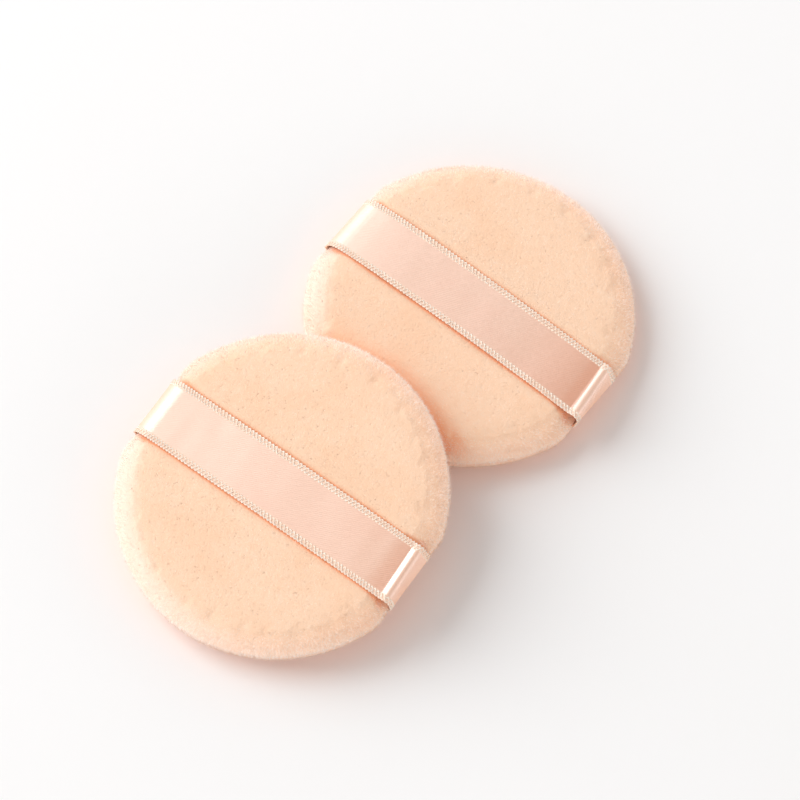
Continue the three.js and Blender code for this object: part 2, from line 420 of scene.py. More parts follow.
class NodeSheet:
    """A node tree with short ways to add and join nodes."""

    def __init__(self, tree: bpy.types.NodeTree) -> None:
        """Takes the tree that the nodes go into."""
        self.tree = tree

    def add(self, kind: str, settings: dict | None = None, **inputs: object) -> bpy.types.Node:
        """Adds a node.

        Args:
            kind: The node's type name.
            settings: Its own properties by name.
            **inputs: Socket values or output sockets, by the socket's name with _ for a space.

        Returns:
            The new node.
        """
        node = self.tree.nodes.new(kind)
        for name, value in (settings or {}).items():
            setattr(node, name, value)
        self.fill(node, **inputs)
        return node

    def fill(self, node: bpy.types.Node, **inputs: object) -> None:
        """Sets or joins a node's inputs, by the socket's name with _ for a space."""
        for name, value in inputs.items():
            self.put(node, name.replace("_", " "), value)

    def feed(self, node: bpy.types.Node, *values: object) -> bpy.types.Node:
        """Sets or joins a node's first inputs, in their order."""
        for index, value in enumerate(values):
            self.put(node, index, value)
        return node

    def noise(self, **inputs: object) -> Socket:
        """The values of a noise texture with these inputs."""
        return self.add("ShaderNodeTexNoise", **inputs).outputs[0]

    def put(self, node: bpy.types.Node, socket: str | int, value: object) -> None:
        """Sets a node's input, or joins it to an output.

        Args:
            node: The node.
            socket: The input's name or number.
            value: The value, or the output socket that feeds it.
        """
        target = node.inputs[socket]
        if isinstance(value, Socket):
            self.tree.links.new(value, target)
        else:
            target.default_value = value

    def math(self, operation: str, *values: object) -> Socket:
        """A sum, product or other operation of numbers."""
        return self.feed(self.add("ShaderNodeMath", {"operation": operation}), *values).outputs[0]

    def times(self, first: object, second: object) -> Socket:
        """The product of two numbers."""
        return self.math("MULTIPLY", first, second)

    def group(self, tree: bpy.types.NodeTree, **inputs: object) -> bpy.types.Node:
        """Adds a node group, with its inputs by name."""
        return self.add("ShaderNodeGroup", {"node_tree": tree}, **inputs)

    def attribute(self, name: str) -> Socket:
        """A number that the mesh holds at each point."""
        return self.add("ShaderNodeAttribute", {"attribute_name": name}).outputs["Fac"]

    def bump(self, strength: float, distance: float, height: object) -> Socket:
        """The normals of a fine relief.

        Args:
            strength: How much of the relief shows.
            distance: How deep it is, in metres.
            height: The relief's heights.

        Returns:
            The normals.
        """
        return self.add("ShaderNodeBump", Strength=strength, Distance=distance, Height=height).outputs[0]

    def mixed(self, share: object, first: object, second: object) -> Socket:
        """Two colours mixed by a share."""
        node = self.tree.nodes.new("ShaderNodeMix")
        node.data_type = "RGBA"
        self.put(node, 0, share)
        self.put(node, 6, first)
        self.put(node, 7, second)
        return node.outputs[2]

    def between(self, value: object, low: object, high: object, start: float = 0.0,
                end: float = 1.0) -> Socket:
        """A number moved from the range low to high to the range start to end, and kept in it."""
        node = self.add("ShaderNodeMapRange", {"interpolation_type": "SMOOTHSTEP"})
        return self.feed(node, value, low, high, start, end).outputs[0]


def new_group(name: str, inputs: dict[str, object], outputs: dict[str, object]) -> tuple:
    """An empty shader node group with named sockets.

    Args:
        name: The group's name.
        inputs: Each input's default, by name: a number, a vector or a colour.
        outputs: A value of each output's kind, by name.

    Returns:
        The tree, its sheet, the sockets that give its inputs, and its output node.
    """
    tree = bpy.data.node_groups.new(name, "ShaderNodeTree")
    for way, sockets in (("INPUT", inputs), ("OUTPUT", outputs)):
        for label, value in sockets.items():
            kind = SOCKET_KINDS[np.size(value)]
            tree.interface.new_socket(label, in_out=way, socket_type=kind).default_value = value
    sheet = NodeSheet(tree)
    return tree, sheet, tree.nodes.new("NodeGroupInput").outputs, tree.nodes.new("NodeGroupOutput")


class SharedEffects:
    """The node groups that more than one finish uses, each built once."""

    # Between which noise values the dye turns lighter and deeper, and where short fibres leave pits.
    DYE_LIGHTER, DYE_DEEPER, DYE_BROAD = (0.48, 0.75), (0.46, 0.24), (0.55, 0.3)
    TIP_PITS, CLUMP_PITS = (0.42, 0.2), (0.58, 0.36)
    TIP_SHARE, CLUMP_SHARE = 0.6, 0.4
    SLUB_SCALE = 1.3
    NEAR_SAMPLES = 8
    # Between which fibre heights a finish turns from its roughest to its smoothest.
    FIBRE_HEIGHTS = (0.2, 0.7)

    def __init__(self) -> None:
        """Builds every group."""
        self.mottle = self._mottle()
        self.fibres = self._fibres()
        self.twill = self._twill()
        self.crevice = self._crevice()

    def _mottle(self) -> bpy.types.NodeTree:
        """Broad and fine colour variation, as dyed cloth has."""
        tree, sheet, given, out = new_group(
            "Dye Mottle",
            {
                "Vector": (0, 0, 0),
                "Colour": (0.8, 0.8, 0.8, 1),
                "Light Colour": (0.9, 0.9, 0.9, 1),
                "Deep Colour": (0.6, 0.6, 0.6, 1),
                "Broad Scale": 90.0,
                "Fine Scale": 900.0,
                "Amount": 0.5,
            },
            {"Color": WHITE},
        )
        broad = sheet.noise(Vector=given["Vector"], Scale=given["Broad Scale"], Detail=2.0)
        fine = sheet.noise(Vector=given["Vector"], Scale=given["Fine Scale"], Detail=3.0, Roughness=0.65)
        lighter = sheet.times(sheet.between(fine, *self.DYE_LIGHTER), given["Amount"])
        deeper = sheet.math("ADD", sheet.between(fine, *self.DYE_DEEPER), sheet.between(broad, *self.DYE_BROAD))
        deeper = sheet.times(deeper, given["Amount"])
        colour = sheet.mixed(lighter, given["Colour"], given["Light Colour"])
        colour = sheet.mixed(sheet.math("MINIMUM", deeper, 1.0), colour, given["Deep Colour"])
        sheet.put(out, "Color", colour)
        return tree

    def _fibres(self) -> bpy.types.NodeTree:
        """The relief of a mass of short fibres, and a mask of the pits it lowers, where the velour paints shade."""
        tree, sheet, given, out = new_group(
            "Short Fibres",
            {
                "Vector": (0, 0, 0),
                "Scale": 2600.0,
                "Clump Scale": 700.0,
                "Pit Depth": 0.5,
            },
            {"Height": 0.0, "Pits": 0.0},
        )
        tips = sheet.noise(Vector=given["Vector"], Scale=given["Scale"], Detail=3.0, Roughness=0.7)
        clumps = sheet.noise(Vector=given["Vector"], Scale=given["Clump Scale"], Detail=2.0, Distortion=0.6)
        pits = sheet.times(sheet.between(tips, *self.TIP_PITS), sheet.between(clumps, *self.CLUMP_PITS))
        height = sheet.math("ADD", sheet.times(tips, self.TIP_SHARE), sheet.times(clumps, self.CLUMP_SHARE))
        height = sheet.math("SUBTRACT", height, sheet.times(pits, given["Pit Depth"]))
        sheet.fill(out, Height=height, Pits=pits)
        return tree

    def _twill(self) -> bpy.types.NodeTree:
        """Fine slanting ribs, as satin weave and twisted yarn have."""
        tree, sheet, given, out = new_group(
            "Slanting Ribs",
            {
                "Vector": (0, 0, 0),
                "Across": 4.0,
                "Along": 4.0,
                "Unevenness": 0.3,
            },
            {"Height": 0.0, "Slubs": 0.0},
        )
        x, y = sheet.add("ShaderNodeSeparateXYZ", Vector=given["Vector"]).outputs[:2]
        slubs = sheet.noise(Vector=given["Vector"], Scale=self.SLUB_SCALE, Detail=3.0)
        shift = sheet.times(slubs, given["Unevenness"])
        across, along = sheet.times(x, given["Across"]), sheet.times(y, given["Along"])
        turn = sheet.times(sheet.math("ADD", sheet.math("ADD", across, along), shift), 2 * math.pi)
        ribs = sheet.math("MULTIPLY_ADD", sheet.math("SINE", turn), 0.5, 0.5)
        sheet.fill(out, Height=ribs, Slubs=slubs)
        return tree

    def _crevice(self) -> bpy.types.NodeTree:
        """Where other surfaces stand near, so that light is coloured by passing to and fro between them."""
        tree, sheet, given, out = new_group(
            "Crevice Mask",
            {
                "Reach": 0.005,
                "Open": 1.0,
                "Closed": 0.45,
                "Share": 1.0,
            },
            {"Mask": 0.0},
        )
        near = sheet.add("ShaderNodeAmbientOcclusion", {"samples": self.NEAR_SAMPLES}, Distance=given["Reach"])
        closed = sheet.between(near.outputs["AO"], given["Open"], given["Closed"])
        sheet.put(out, "Mask", sheet.times(closed, given["Share"]))
        return tree


def srgb(red: float, green: float, blue: float) -> tuple[float, float, float, float]:
    """A colour as a paint chart gives it, from 0 to 1, as the shader's linear colour."""
    return tuple(c / 12.92 if c <= 0.04045 else ((c + 0.055) / 1.055) ** 2.4 for c in (red, green, blue)) + (1.0,)


class Finish:
    """A material that a piece is given. Each kind says what its shader gets besides the mottled colour."""

    name: str
    colour: tuple
    light: tuple
    deep: tuple
    mottle_scales: tuple
    mottle_amount: float

    def material(self, effects: SharedEffects) -> bpy.types.Material:
        """Builds the material with the shared effects."""
        material = bpy.data.materials.new(self.name)
        material.use_nodes = True
        sheet = NodeSheet(material.node_tree)
        place = sheet.add("ShaderNodeTexCoord").outputs["Object"]
        broad, fine = self.mottle_scales
        mottle = sheet.group(effects.mottle, Vector=place, Colour=self.colour, Light_Colour=self.light,
                             Deep_Colour=self.deep, Broad_Scale=broad, Fine_Scale=fine, Amount=self.mottle_amount)
        given = self.looks(sheet, effects, place, mottle.outputs["Color"])
        sheet.fill(material.node_tree.nodes["Principled BSDF"], **given)
        return material

    def looks(self, sheet: NodeSheet, effects: SharedEffects, place: Socket, colour: Socket) -> dict[str, object]:
        """What the material's shader is given.

        Args:
            sheet: The material's nodes.
            effects: The shared effects.
            place: The object's own coordinates, in metres.
            colour: The finish's colour with its lighter and deeper places.

        Returns:
            The shader's inputs by name, with _ for a space.
        """
        raise NotImplementedError


@dataclass(frozen=True)
class VelourFinish(Finish):
    """Short dense pile: matt, with painted sheen that pales its rim, most on the side the light comes from, and painted
    shade in its pits and crevices.
    """

    name: str = "peach velour"
    colour: tuple = srgb(0.994, 0.846, 0.724)
    light: tuple = srgb(1.0, 0.885, 0.790)
    deep: tuple = srgb(0.985, 0.805, 0.665)
    mottle_scales: tuple = (95.0, 700.0)
    mottle_amount: float = 0.36
    # The pit colour is painted shade in the pits.
    pit_shade: tuple = srgb(0.940, 0.715, 0.560)
    sheen: float = 0.95
    sheen_roughness: float = 0.42
    sheen_tint: tuple = srgb(1.0, 0.95, 0.94)
    relief: float = 0.00024
    relief_strength: float = 0.85
    # The rim colour, mixed in by the rim attribute, is painted sheen: a paler rim, palest on the side the light comes
    # from.
    rim: tuple = srgb(1.0, 0.950, 0.915)
    painted_sheen_fade: float = 0.5
    pit_shade_share: float = 0.75
    # Painted warm shade where other surfaces stand near, with less of it at the seam.
    crevice_shade: tuple = srgb(1.0, 0.570, 0.290)
    crevice_shade_share: float = 0.6
    crevice_shade_reach: float = 0.009
    crevice_shade_open: float = 0.9
    crevice_shade_closed: float = 0.62
    seam_crevice_shade_share: float = 0.15
    fibre_scale: float = 2600.0
    clump_scale: float = 900.0
    pit_depth: float = 0.5
    roughness: tuple = (0.98, 0.86)
    shine: float = 0.18

    def looks(self, sheet: NodeSheet, effects: SharedEffects, place: Socket, colour: Socket) -> dict[str, object]:
        """Fibres in clumps, with painted sheen paling the rim and painted warm shade in the pits and where other
        surfaces stand near.
        """
        fibres = sheet.group(effects.fibres, Vector=place, Scale=self.fibre_scale, Clump_Scale=self.clump_scale,
                             Pit_Depth=self.pit_depth)
        # Painted sheen: the rim attribute pales the colour round the rim, more on the lit side.
        colour = sheet.mixed(sheet.times(sheet.attribute("rim"), self.painted_sheen_fade), colour, self.rim)
        # Painted shade in the pits that the fibres' relief lowers.
        colour = sheet.mixed(sheet.times(fibres.outputs["Pits"], self.pit_shade_share), colour, self.pit_shade)
        # Painted warm shade: the crevice mask mixes in a deep orange where other surfaces stand near, less at the seam.
        if self.crevice_shade_share:
            share = sheet.between(sheet.attribute("seam"), 0.0, 1.0, self.crevice_shade_share, self.seam_crevice_shade_share)
            crevice = sheet.group(effects.crevice, Reach=self.crevice_shade_reach, Open=self.crevice_shade_open,
                                  Closed=self.crevice_shade_closed, Share=share)
            colour = sheet.mixed(crevice.outputs["Mask"], colour, self.crevice_shade)
        height = fibres.outputs["Height"]
        return {
            "Base_Color": colour, "Roughness": sheet.between(height, *effects.FIBRE_HEIGHTS, *self.roughness),
            "Normal": sheet.bump(self.relief_strength, self.relief, height), "Specular_IOR_Level": self.shine,
            "Sheen_Weight": self.sheen, "Sheen_Roughness": self.sheen_roughness, "Sheen_Tint": self.sheen_tint,
        }


@dataclass(frozen=True)
class SatinFinish(Finish):
    """Satin ribbon: fine slanting weave with a broad shine across its length, and a rougher, paler selvedge."""

    name: str = "peach satin ribbon"
    colour: tuple = srgb(1.0, 0.752, 0.590)
    light: tuple = srgb(1.0, 0.784, 0.630)
    deep: tuple = srgb(0.995, 0.700, 0.525)
    mottle_scales: tuple = (120.0, 1400.0)
    mottle_amount: float = 0.35
    selvedge: tuple = srgb(0.975, 0.780, 0.620)
    # Painted shade: the shaded crease colour darkens the valley before the crest, and the end shade darkens the ribbon
    # towards its creased end.
    shaded_crease: tuple = srgb(0.970, 0.595, 0.345)
    crease_shade: float = 1.0
    end_shade_share: float = 0.7
    selvedge_from: tuple = (4.65, 4.85)
    crest_from: tuple = (-28.1, -27.5)
    crease_from: tuple = (-21.5, -26.6)
    end_shade_from: tuple = (-6.0, -26.0)
    rib_share: float = 0.22
    selvedge_share: float = 0.8
    ribs_across: float = 2.6
    ribs_along: float = 1.1
    unevenness: float = 0.5
    slubs_from: tuple = (0.3, 0.7)
    roughness: tuple = (0.49, 0.57)
    selvedge_roughness: float = 0.25
    crease_smoothness: float = 0.13
    anisotropy: float = 0.42
    ior: float = 2.8
    shine: float = 1.0
    relief: float = 0.00003
    relief_strength: float = 0.6

    def looks(self, sheet: NodeSheet, effects: SharedEffects, place: Socket, colour: Socket) -> dict[str, object]:
        """The weave, laid out by its coordinates in millimetres, with selvedges, and painted shade that darkens it
        towards the creased end and in the valley before the crest.
        """
        cloth = sheet.add("ShaderNodeUVMap", {"uv_map": "weave"}).outputs[0]
        ribs = sheet.group(effects.twill, Vector=cloth, Across=self.ribs_across, Along=self.ribs_along,
                           Unevenness=self.unevenness)
        across, along = sheet.add("ShaderNodeSeparateXYZ", Vector=cloth).outputs[:2]
        edge = sheet.between(sheet.math("ABSOLUTE", across), *self.selvedge_from)
        inside = sheet.between(along, *self.crest_from)
        # Painted shade, in the valley before the crest and growing towards the creased end, but not on the crest.
        shaded_crease = sheet.times(sheet.between(along, *self.crease_from), inside)
        end_shade = sheet.times(sheet.between(along, *self.end_shade_from, 0.0, self.end_shade_share), inside)
        shade = sheet.math("MAXIMUM", end_shade, sheet.times(shaded_crease, self.crease_shade))
        colour = sheet.mixed(sheet.times(ribs.outputs["Height"], self.rib_share), colour, self.deep)
        colour = sheet.mixed(shade, colour, self.shaded_crease)
        colour = sheet.mixed(sheet.times(edge, self.selvedge_share), colour, self.selvedge)
        slubbed = sheet.between(ribs.outputs["Slubs"], *self.slubs_from, *self.roughness)
        rubbed = sheet.math("ADD", slubbed, sheet.times(edge, self.selvedge_roughness))
        return {
            "Base_Color": colour,
            "Roughness": sheet.math("SUBTRACT", rubbed, sheet.times(shaded_crease, self.crease_smoothness)),
            "Normal": sheet.bump(self.relief_strength, self.relief, ribs.outputs["Height"]),
            "Tangent": sheet.add("ShaderNodeTangent", {"direction_type": "UV_MAP", "uv_map": "weave"}).outputs[0],
            "IOR": self.ior, "Specular_IOR_Level": self.shine, "Anisotropic": self.anisotropy,
        }


@dataclass(frozen=True)
class YarnFinish(Finish):
    """Spun yarn: soft shine, with its fibres slanting round it."""

    name: str = "peach sewing thread"
    colour: tuple = srgb(0.953, 0.788, 0.643)
    light: tuple = srgb(0.985, 0.865, 0.750)
    deep: tuple = srgb(0.870, 0.640, 0.480)
    mottle_scales: tuple = (300.0, 2600.0)
    mottle_amount: float = 0.6
    rib_share: float = 0.25
    sheen: float = 0.3
    sheen_roughness: float = 0.3
    roughness: tuple = (0.65, 0.5)
    ribs_across: float = 7000.0
    ribs_along: float = 5200.0
    unevenness: float = 0.4
    relief: float = 0.00003
    relief_strength: float = 0.5

    def looks(self, sheet: NodeSheet, effects: SharedEffects, place: Socket, colour: Socket) -> dict[str, object]:
        """Slanting fibres, deeper between them."""
        ribs = sheet.group(effects.twill, Vector=place, Across=self.ribs_across, Along=self.ribs_along,
                           Unevenness=self.unevenness)
        height = ribs.outputs["Height"]
        return {
            "Base_Color": sheet.mixed(sheet.times(height, self.rib_share), colour, self.deep),
            "Roughness": sheet.between(height, 0, 1, *self.roughness),
            "Normal": sheet.bump(self.relief_strength, self.relief, height),
            "Sheen_Weight": self.sheen, "Sheen_Roughness": self.sheen_roughness,
        }


@dataclass(frozen=True)
class SpongeFinish(Finish):
    """Open-celled foam: matt, with its small cells painted darker as shade in the pores."""

    name: str = "cream sponge"
    colour: tuple = srgb(0.984, 0.933, 0.867)
    light: tuple = srgb(1.0, 0.965, 0.915)
    deep: tuple = srgb(0.930, 0.845, 0.745)
    mottle_scales: tuple = (110.0, 1100.0)
    mottle_amount: float = 0.5
    # The cell colour is painted shade in the pores.
    cell: tuple = srgb(0.820, 0.700, 0.580)
    pore_shade_share: float = 0.7
    cell_scale: float = 1300.0
    cell_from: tuple = (0.42, 0.12)
    wall_scale: float = 1500.0
    clump_scale: float = 500.0
    pit_depth: float = 0.9
    roughness: tuple = (0.97, 0.85)
    relief: float = 0.0002
    relief_strength: float = 0.8

    def looks(self, sheet: NodeSheet, effects: SharedEffects, place: Socket, colour: Socket) -> dict[str, object]:
        """Cells between clumped walls, painted darker as shade in the pores."""
        fibres = sheet.group(effects.fibres, Vector=place, Scale=self.wall_scale, Clump_Scale=self.clump_scale,
                             Pit_Depth=self.pit_depth)
        cells = sheet.add("ShaderNodeTexVoronoi", Vector=place, Scale=self.cell_scale)
        # Painted shade: the pores are darkened in the base colour.
        pores = sheet.between(cells.outputs["Distance"], *self.cell_from)
        height = fibres.outputs["Height"]
        return {
            "Base_Color": sheet.mixed(sheet.times(pores, self.pore_shade_share), colour, self.cell),
            "Roughness": sheet.between(height, *effects.FIBRE_HEIGHTS, *self.roughness),
            "Normal": sheet.bump(self.relief_strength, self.relief, sheet.math("SUBTRACT", height, pores)),
        }


@dataclass(frozen=True)
class TableFinish(Finish):
    """The plain white surface that the puffs lie on."""

    name: str = "white table"
    colour: tuple = (0.945, 0.945, 0.945, 1.0)
    light: tuple = (0.949725, 0.949725, 0.95445, 1.0)
    deep: tuple = (0.93555, 0.93555, 0.930825, 1.0)
    mottle_scales: tuple = (14.0, 160.0)
    mottle_amount: float = 0.3
    # Painted warm bounce light and shade on the table near the puffs.
    painted_bounce: tuple = (0.98, 0.885, 0.85, 1.0)
    painted_bounce_reach: float = 0.014
    painted_bounce_open: float = 1.0
    painted_bounce_closed: float = 0.45
    roughness: float = 0.9
    shine: float = 0.1

    def looks(self, sheet: NodeSheet, effects: SharedEffects, place: Socket, colour: Socket) -> dict[str, object]:
        """A matt surface, painted warmer near what lies on it: painted bounce light and shade from the peach puffs."""
        near = sheet.group(effects.crevice, Reach=self.painted_bounce_reach, Open=self.painted_bounce_open, Closed=self.painted_bounce_closed,
                           Share=1.0)
        # Painted bounce: the crevice mask tints the table pinker near the puffs.
        colour = sheet.mixed(near.outputs["Mask"], colour, self.painted_bounce)
        return {"Base_Color": colour, "Roughness": self.roughness, "Specular_IOR_Level": self.shine}


@dataclass
class Finishes:
    """Every finish of the set, as materials."""

    effects: SharedEffects = field(default_factory=SharedEffects)

    def __post_init__(self) -> None:
        """Builds the materials."""
        self.velour = VelourFinish().material(self.effects)
        # The pile's paler colours are painted sheen, paling the outline where the fibres stand.
        self.pile = VelourFinish(name="pile tips with painted sheen", colour=srgb(1.0, 0.945, 0.905), light=srgb(1.0, 0.975, 0.955),
                                 deep=srgb(0.990, 0.850, 0.745), pit_shade=srgb(0.960, 0.800, 0.680), crevice_shade_share=0.0,
                                 sheen=0.8).material(self.effects)
        # The front strap's satin has little painted shade at its creased end; the rear's has the full amount.
        self.satin = SatinFinish(end_shade_share=0.1, crease_shade=0.55, ior=2.7).material(self.effects)
        self.end_shaded_satin = SatinFinish(name="peach satin ribbon, shaded end").material(self.effects)
        self.selvedge_yarn = YarnFinish(name="pale selvedge yarn", colour=srgb(1.0, 0.950, 0.895),
                                        light=srgb(1.0, 0.980, 0.950), deep=srgb(1.0, 0.885, 0.790),
                                        sheen=0.8, roughness=(0.52, 0.37)).material(self.effects)
        self.thread = YarnFinish().material(self.effects)
        self.sponge = SpongeFinish().material(self.effects)
        self.table = TableFinish().material(self.effects)


@dataclass
class VelourCover:
    """One velour cover of a puff: the disc, turned over the round rim, with its seam allowance turned in."""

    form: PuffForm
    side: Side
    seed: int
    cage_steps: int = 20
    rim_cells: int = 5
    fineness: int = 4
    swell_cap: float = 0.28
    swell_room: float = 0.16
    clump_relief: float = 0.035
    wave_relief: float = 0.022
    relief_from: tuple = (0.5, 1.6)
    table_room: float = 0.01
    shoulder: float = 0.22
    shoulder_radius: float = 26.3
    shoulder_reach: float = 2.4
    strap_half_width: float = 5.9
    press_from: tuple = (1.5, 3.0)
    press_edge: tuple = (1.0, 0.5)
    strap_press: float = 0.16
    strap_bulge: float = 0.2
    bulge_off: float = 1.5
    bulge_width: float = 1.1
    strap_bow: float = 0.5
    bow_share: float = 0.85
    bow_fade: tuple = (6.5, 13.0)
    corner_fill: float = 0.34
    corner_at: float = 27.2
    corner_length: float = 1.7
    corner_fade: tuple = (6.2, 9.0)
    # Where the rim is painted paler as sheen, and how much: the painted sheen reaches further in on the side the light
    # comes from.
    painted_sheen_fade: tuple = (26.4, 30.4)
    painted_sheen_levels: tuple = (0.55, 0.45)
    lit_side_widening: float = 2.2
    # Where the seam attribute, which lessens the painted crevice shade, fades out on each side.
    face_seam_fade: tuple = (0.6, 3.4)
    powder_seam_fade: tuple = (0.6, 1.6)
    powder_seam_loss: float = 0.4
    lip_blend: float = 0.5
    lip_bulge: tuple = (0.12, 0.32)
    fold_depth: float = 1.4
    hem_bulge: float = 0.1
    hem_height: float = 0.65
    inner_rings: tuple = (0.66, 0.33)

    SIM_SCALE = 10.0
    SIM_FRAMES = 20
    SIM_INNER = 0.5
    CLOTH = {
        "vertex_group_mass": "seam", "use_pressure": True, "uniform_pressure_force": 4.0, "quality": 6,
        "mass": 0.25, "tension_stiffness": 18, "compression_stiffness": 18, "shear_stiffness": 8,
        "bending_stiffness": 1.2, "shrink_min": -0.012,
    }
    # The size, share and shift of each layer of noise.
    CLUMPS = ((0.62, 0.6, 0.0), (0.36, 0.4, 31.7))
    WAVES = ((9.0, 0.6, 57.3), (4.2, 0.4, 91.1))

    @property
    def segments(self) -> int:
        """How many points the cage has round its edge."""
        return 8 * self.cage_steps

    @property
    def outer_cells(self) -> int:
        """How many cells the cover's outside has: its first faces."""
        return self.fineness ** 2 * ((2 * self.cage_steps) ** 2 + self.rim_cells * self.segments)

    def _rim_line(self, cells: int, room: float) -> np.ndarray:
        """The rim's arc in section, from the edge of the face to the lip of the seam.

        Args:
            cells: How many steps the arc has.
            room: How far it is kept inside the full form.

        Returns:
            Radius and height of each point, the first on the edge of the face.
        """
        radius = self.form.rim(self.side)
        centre = self.form.radius - radius
        lip = math.asin(self.form.mouth_width / 2 / radius)
        angle = np.linspace(math.pi / 2, lip, cells + 1)
        inset = room * smoothstep(angle, lip, lip + self.lip_blend)
        return np.stack([centre + (radius - inset) * np.cos(angle), (radius - inset) * np.sin(angle)], axis=1)

    def _outside(self, fineness: int, room: float) -> tuple[np.ndarray, np.ndarray]:
        """The outside of the cover as a grid patch and rings.

        Args:
            fineness: How many cells a cage cell becomes.
            room: How far the surface is kept inside the full form.

        Returns:
            The face's points as rows and columns, and the rim's points as rings and segments.
        """
        line = self._rim_line(self.rim_cells * fineness, room)
        grid = DiscGrid(self.cage_steps * fineness, line[0, 0])
        flat = grid.points()
        height = line[0, 1] + self.form.crown_at(np.linalg.norm(flat, axis=-1), self.side)
        face = np.concatenate([flat, height[..., None]], axis=-1)
        return face, ring(line[1:, :1], full_turn(self.segments * fineness), line[1:, 1:])

    def _joined(self, face: np.ndarray, rings: list, steps: int, tip: np.ndarray) -> tuple[np.ndarray, list]:
        """The face, the rings beyond it and a closing point as one closed mesh.

        Args:
            face: The face's points as rows and columns.
            rings: The rings in order, outwards and then round inside.
            steps: The face grid's steps.
            tip: The point that closes the inside.

        Returns:
            The points, and the faces by point number.
        """
        grid = DiscGrid(steps)
        faces, edge = grid.faces(), grid.edge()
        points = [face.reshape(-1, 3)]
        count, total = len(edge), face.shape[0] * face.shape[1]
        last = edge
        for loop in rings:
            here = list(range(total, total + count))
            points.append(loop)
            faces += band(last, here)
            last, total = here, total + count
        points.append(tip.reshape(1, 3))
        faces += [(last[k], total, last[(k + 1) % count]) for k in range(count)]
        return np.concatenate(points), faces

    def _swollen(self) -> tuple[np.ndarray, np.ndarray]:
        """How far the stuffing pushes the cover out, from a cloth simulation of its cage.

        Returns:
            The moves of the face's and the rim's cage points, in millimetres, none further than the cap.
        """
        face, rings = self._outside(1, self.swell_room)
        count = face.shape[0] * face.shape[1]
        base = rings[-1] * np.array([1, 1, 0])
        inner = base * self.SIM_INNER
        points, faces = self._joined(face, [*rings, base, inner], self.cage_steps, np.zeros(3))
        cage = mesh_piece("swelling_cage", points * self.SIM_SCALE * MILLIMETRE, faces)
        pins = cage.vertex_groups.new(name="seam")
        pins.add(list(range(count + (len(rings) - 1) * self.segments, len(points))), 1.0, "REPLACE")
        cloth = cage.modifiers.new("swell", "CLOTH")
        for name, value in self.CLOTH.items():
            setattr(cloth.settings, name, value)
        cloth.settings.effector_weights.gravity = 0
        cloth.point_cache.frame_start, cloth.point_cache.frame_end = 1, self.SIM_FRAMES
        scene = bpy.context.scene
        for number in range(1, self.SIM_FRAMES + 1):
            scene.frame_set(number)
        evaluated = cage.evaluated_get(bpy.context.evaluated_depsgraph_get())
        grown = np.zeros(len(points) * 3, np.float32)
        evaluated.data.vertices.foreach_get("co", grown)
        scene.frame_set(1)
        bpy.data.objects.remove(cage)
        move = grown.reshape(-1, 3) / (self.SIM_SCALE * MILLIMETRE) - points
        length = np.linalg.norm(move, axis=1, keepdims=True)
        capped = self.swell_cap * np.tanh(length / self.swell_cap)
        move *= np.where(length > TINY, capped / np.maximum(length, TINY), 0)
        length = np.linalg.norm(move, axis=1)
        log.info("cover swell: largest %.3f mm, mean %.3f mm", length.max(), length.mean())
        rim = move[count:count + len(rings) * self.segments].reshape(len(rings), self.segments, 3)
        return move[:count].reshape(face.shape), rim

    def _with_swell(self, face: np.ndarray, rings: np.ndarray) -> tuple[np.ndarray, np.ndarray]:
        """The fine outside moved as the simulated cage moved."""
        cage_face, cage_rim = self._swollen()
        edge = cage_face.reshape(-1, 3)[DiscGrid(self.cage_steps).edge()]
        rim = refined_sheet(np.concatenate([edge[None], cage_rim]), self.fineness, closed=True)
        flat = refined_sheet(cage_face, self.fineness, closed=False).reshape(-1, 3)
        flat[DiscGrid(self.cage_steps * self.fineness).edge()] = rim[0]
        return face + flat.reshape(face.shape), rings + rim[1:]

    def _inside(self, lip: np.ndarray) -> tuple[list, np.ndarray]:
        """The rings of the turned-in allowance and of the cover's inside.

        Args:
            lip: The last ring of the outside.

        Returns:
            The rings in order, and the point that closes the inside.
        """
        form = self.form
        inner = form.rim(self.side) - form.cloth
        centre = form.radius - form.rim(self.side)
        wall = math.asin(form.allowance_top / inner)
        reach = form.mouth_radius - form.allowance_reach
        lip_out, lip_height = self.lip_bulge
        line = [
            (form.mouth_radius + lip_out, lip_height), (form.mouth_radius, form.seam_half_gap),
            (form.mouth_radius - self.fold_depth, form.seam_half_gap), (reach, form.seam_half_gap),
            (reach - self.hem_bulge, self.hem_height), (reach, form.allowance_top),
            (centre + inner * math.cos(wall) - self.hem_bulge, form.allowance_top),
        ]
        line += arc(centre, 0, inner, wall, math.pi / 2, 4)
        spans = [share * centre for share in self.inner_rings]
        line += [(span, inner + float(form.crown_at(span, self.side))) for span in spans]
        angle = np.arctan2(lip[:, 1], lip[:, 0])
        return [ring(r, angle, h) for r, h in line], np.array([0, 0, inner + form.rise(self.side)])

    def _shouldered(self, points: np.ndarray) -> np.ndarray:
        """Points of the outside, lowered softly where the face turns into the rim."""
        moved = points.copy()
        distance = np.hypot(points[..., 0], points[..., 1])
        moved[..., 2] -= self.shoulder * np.exp(-(((distance - self.shoulder_radius) / self.shoulder_reach) ** 2))
        return moved

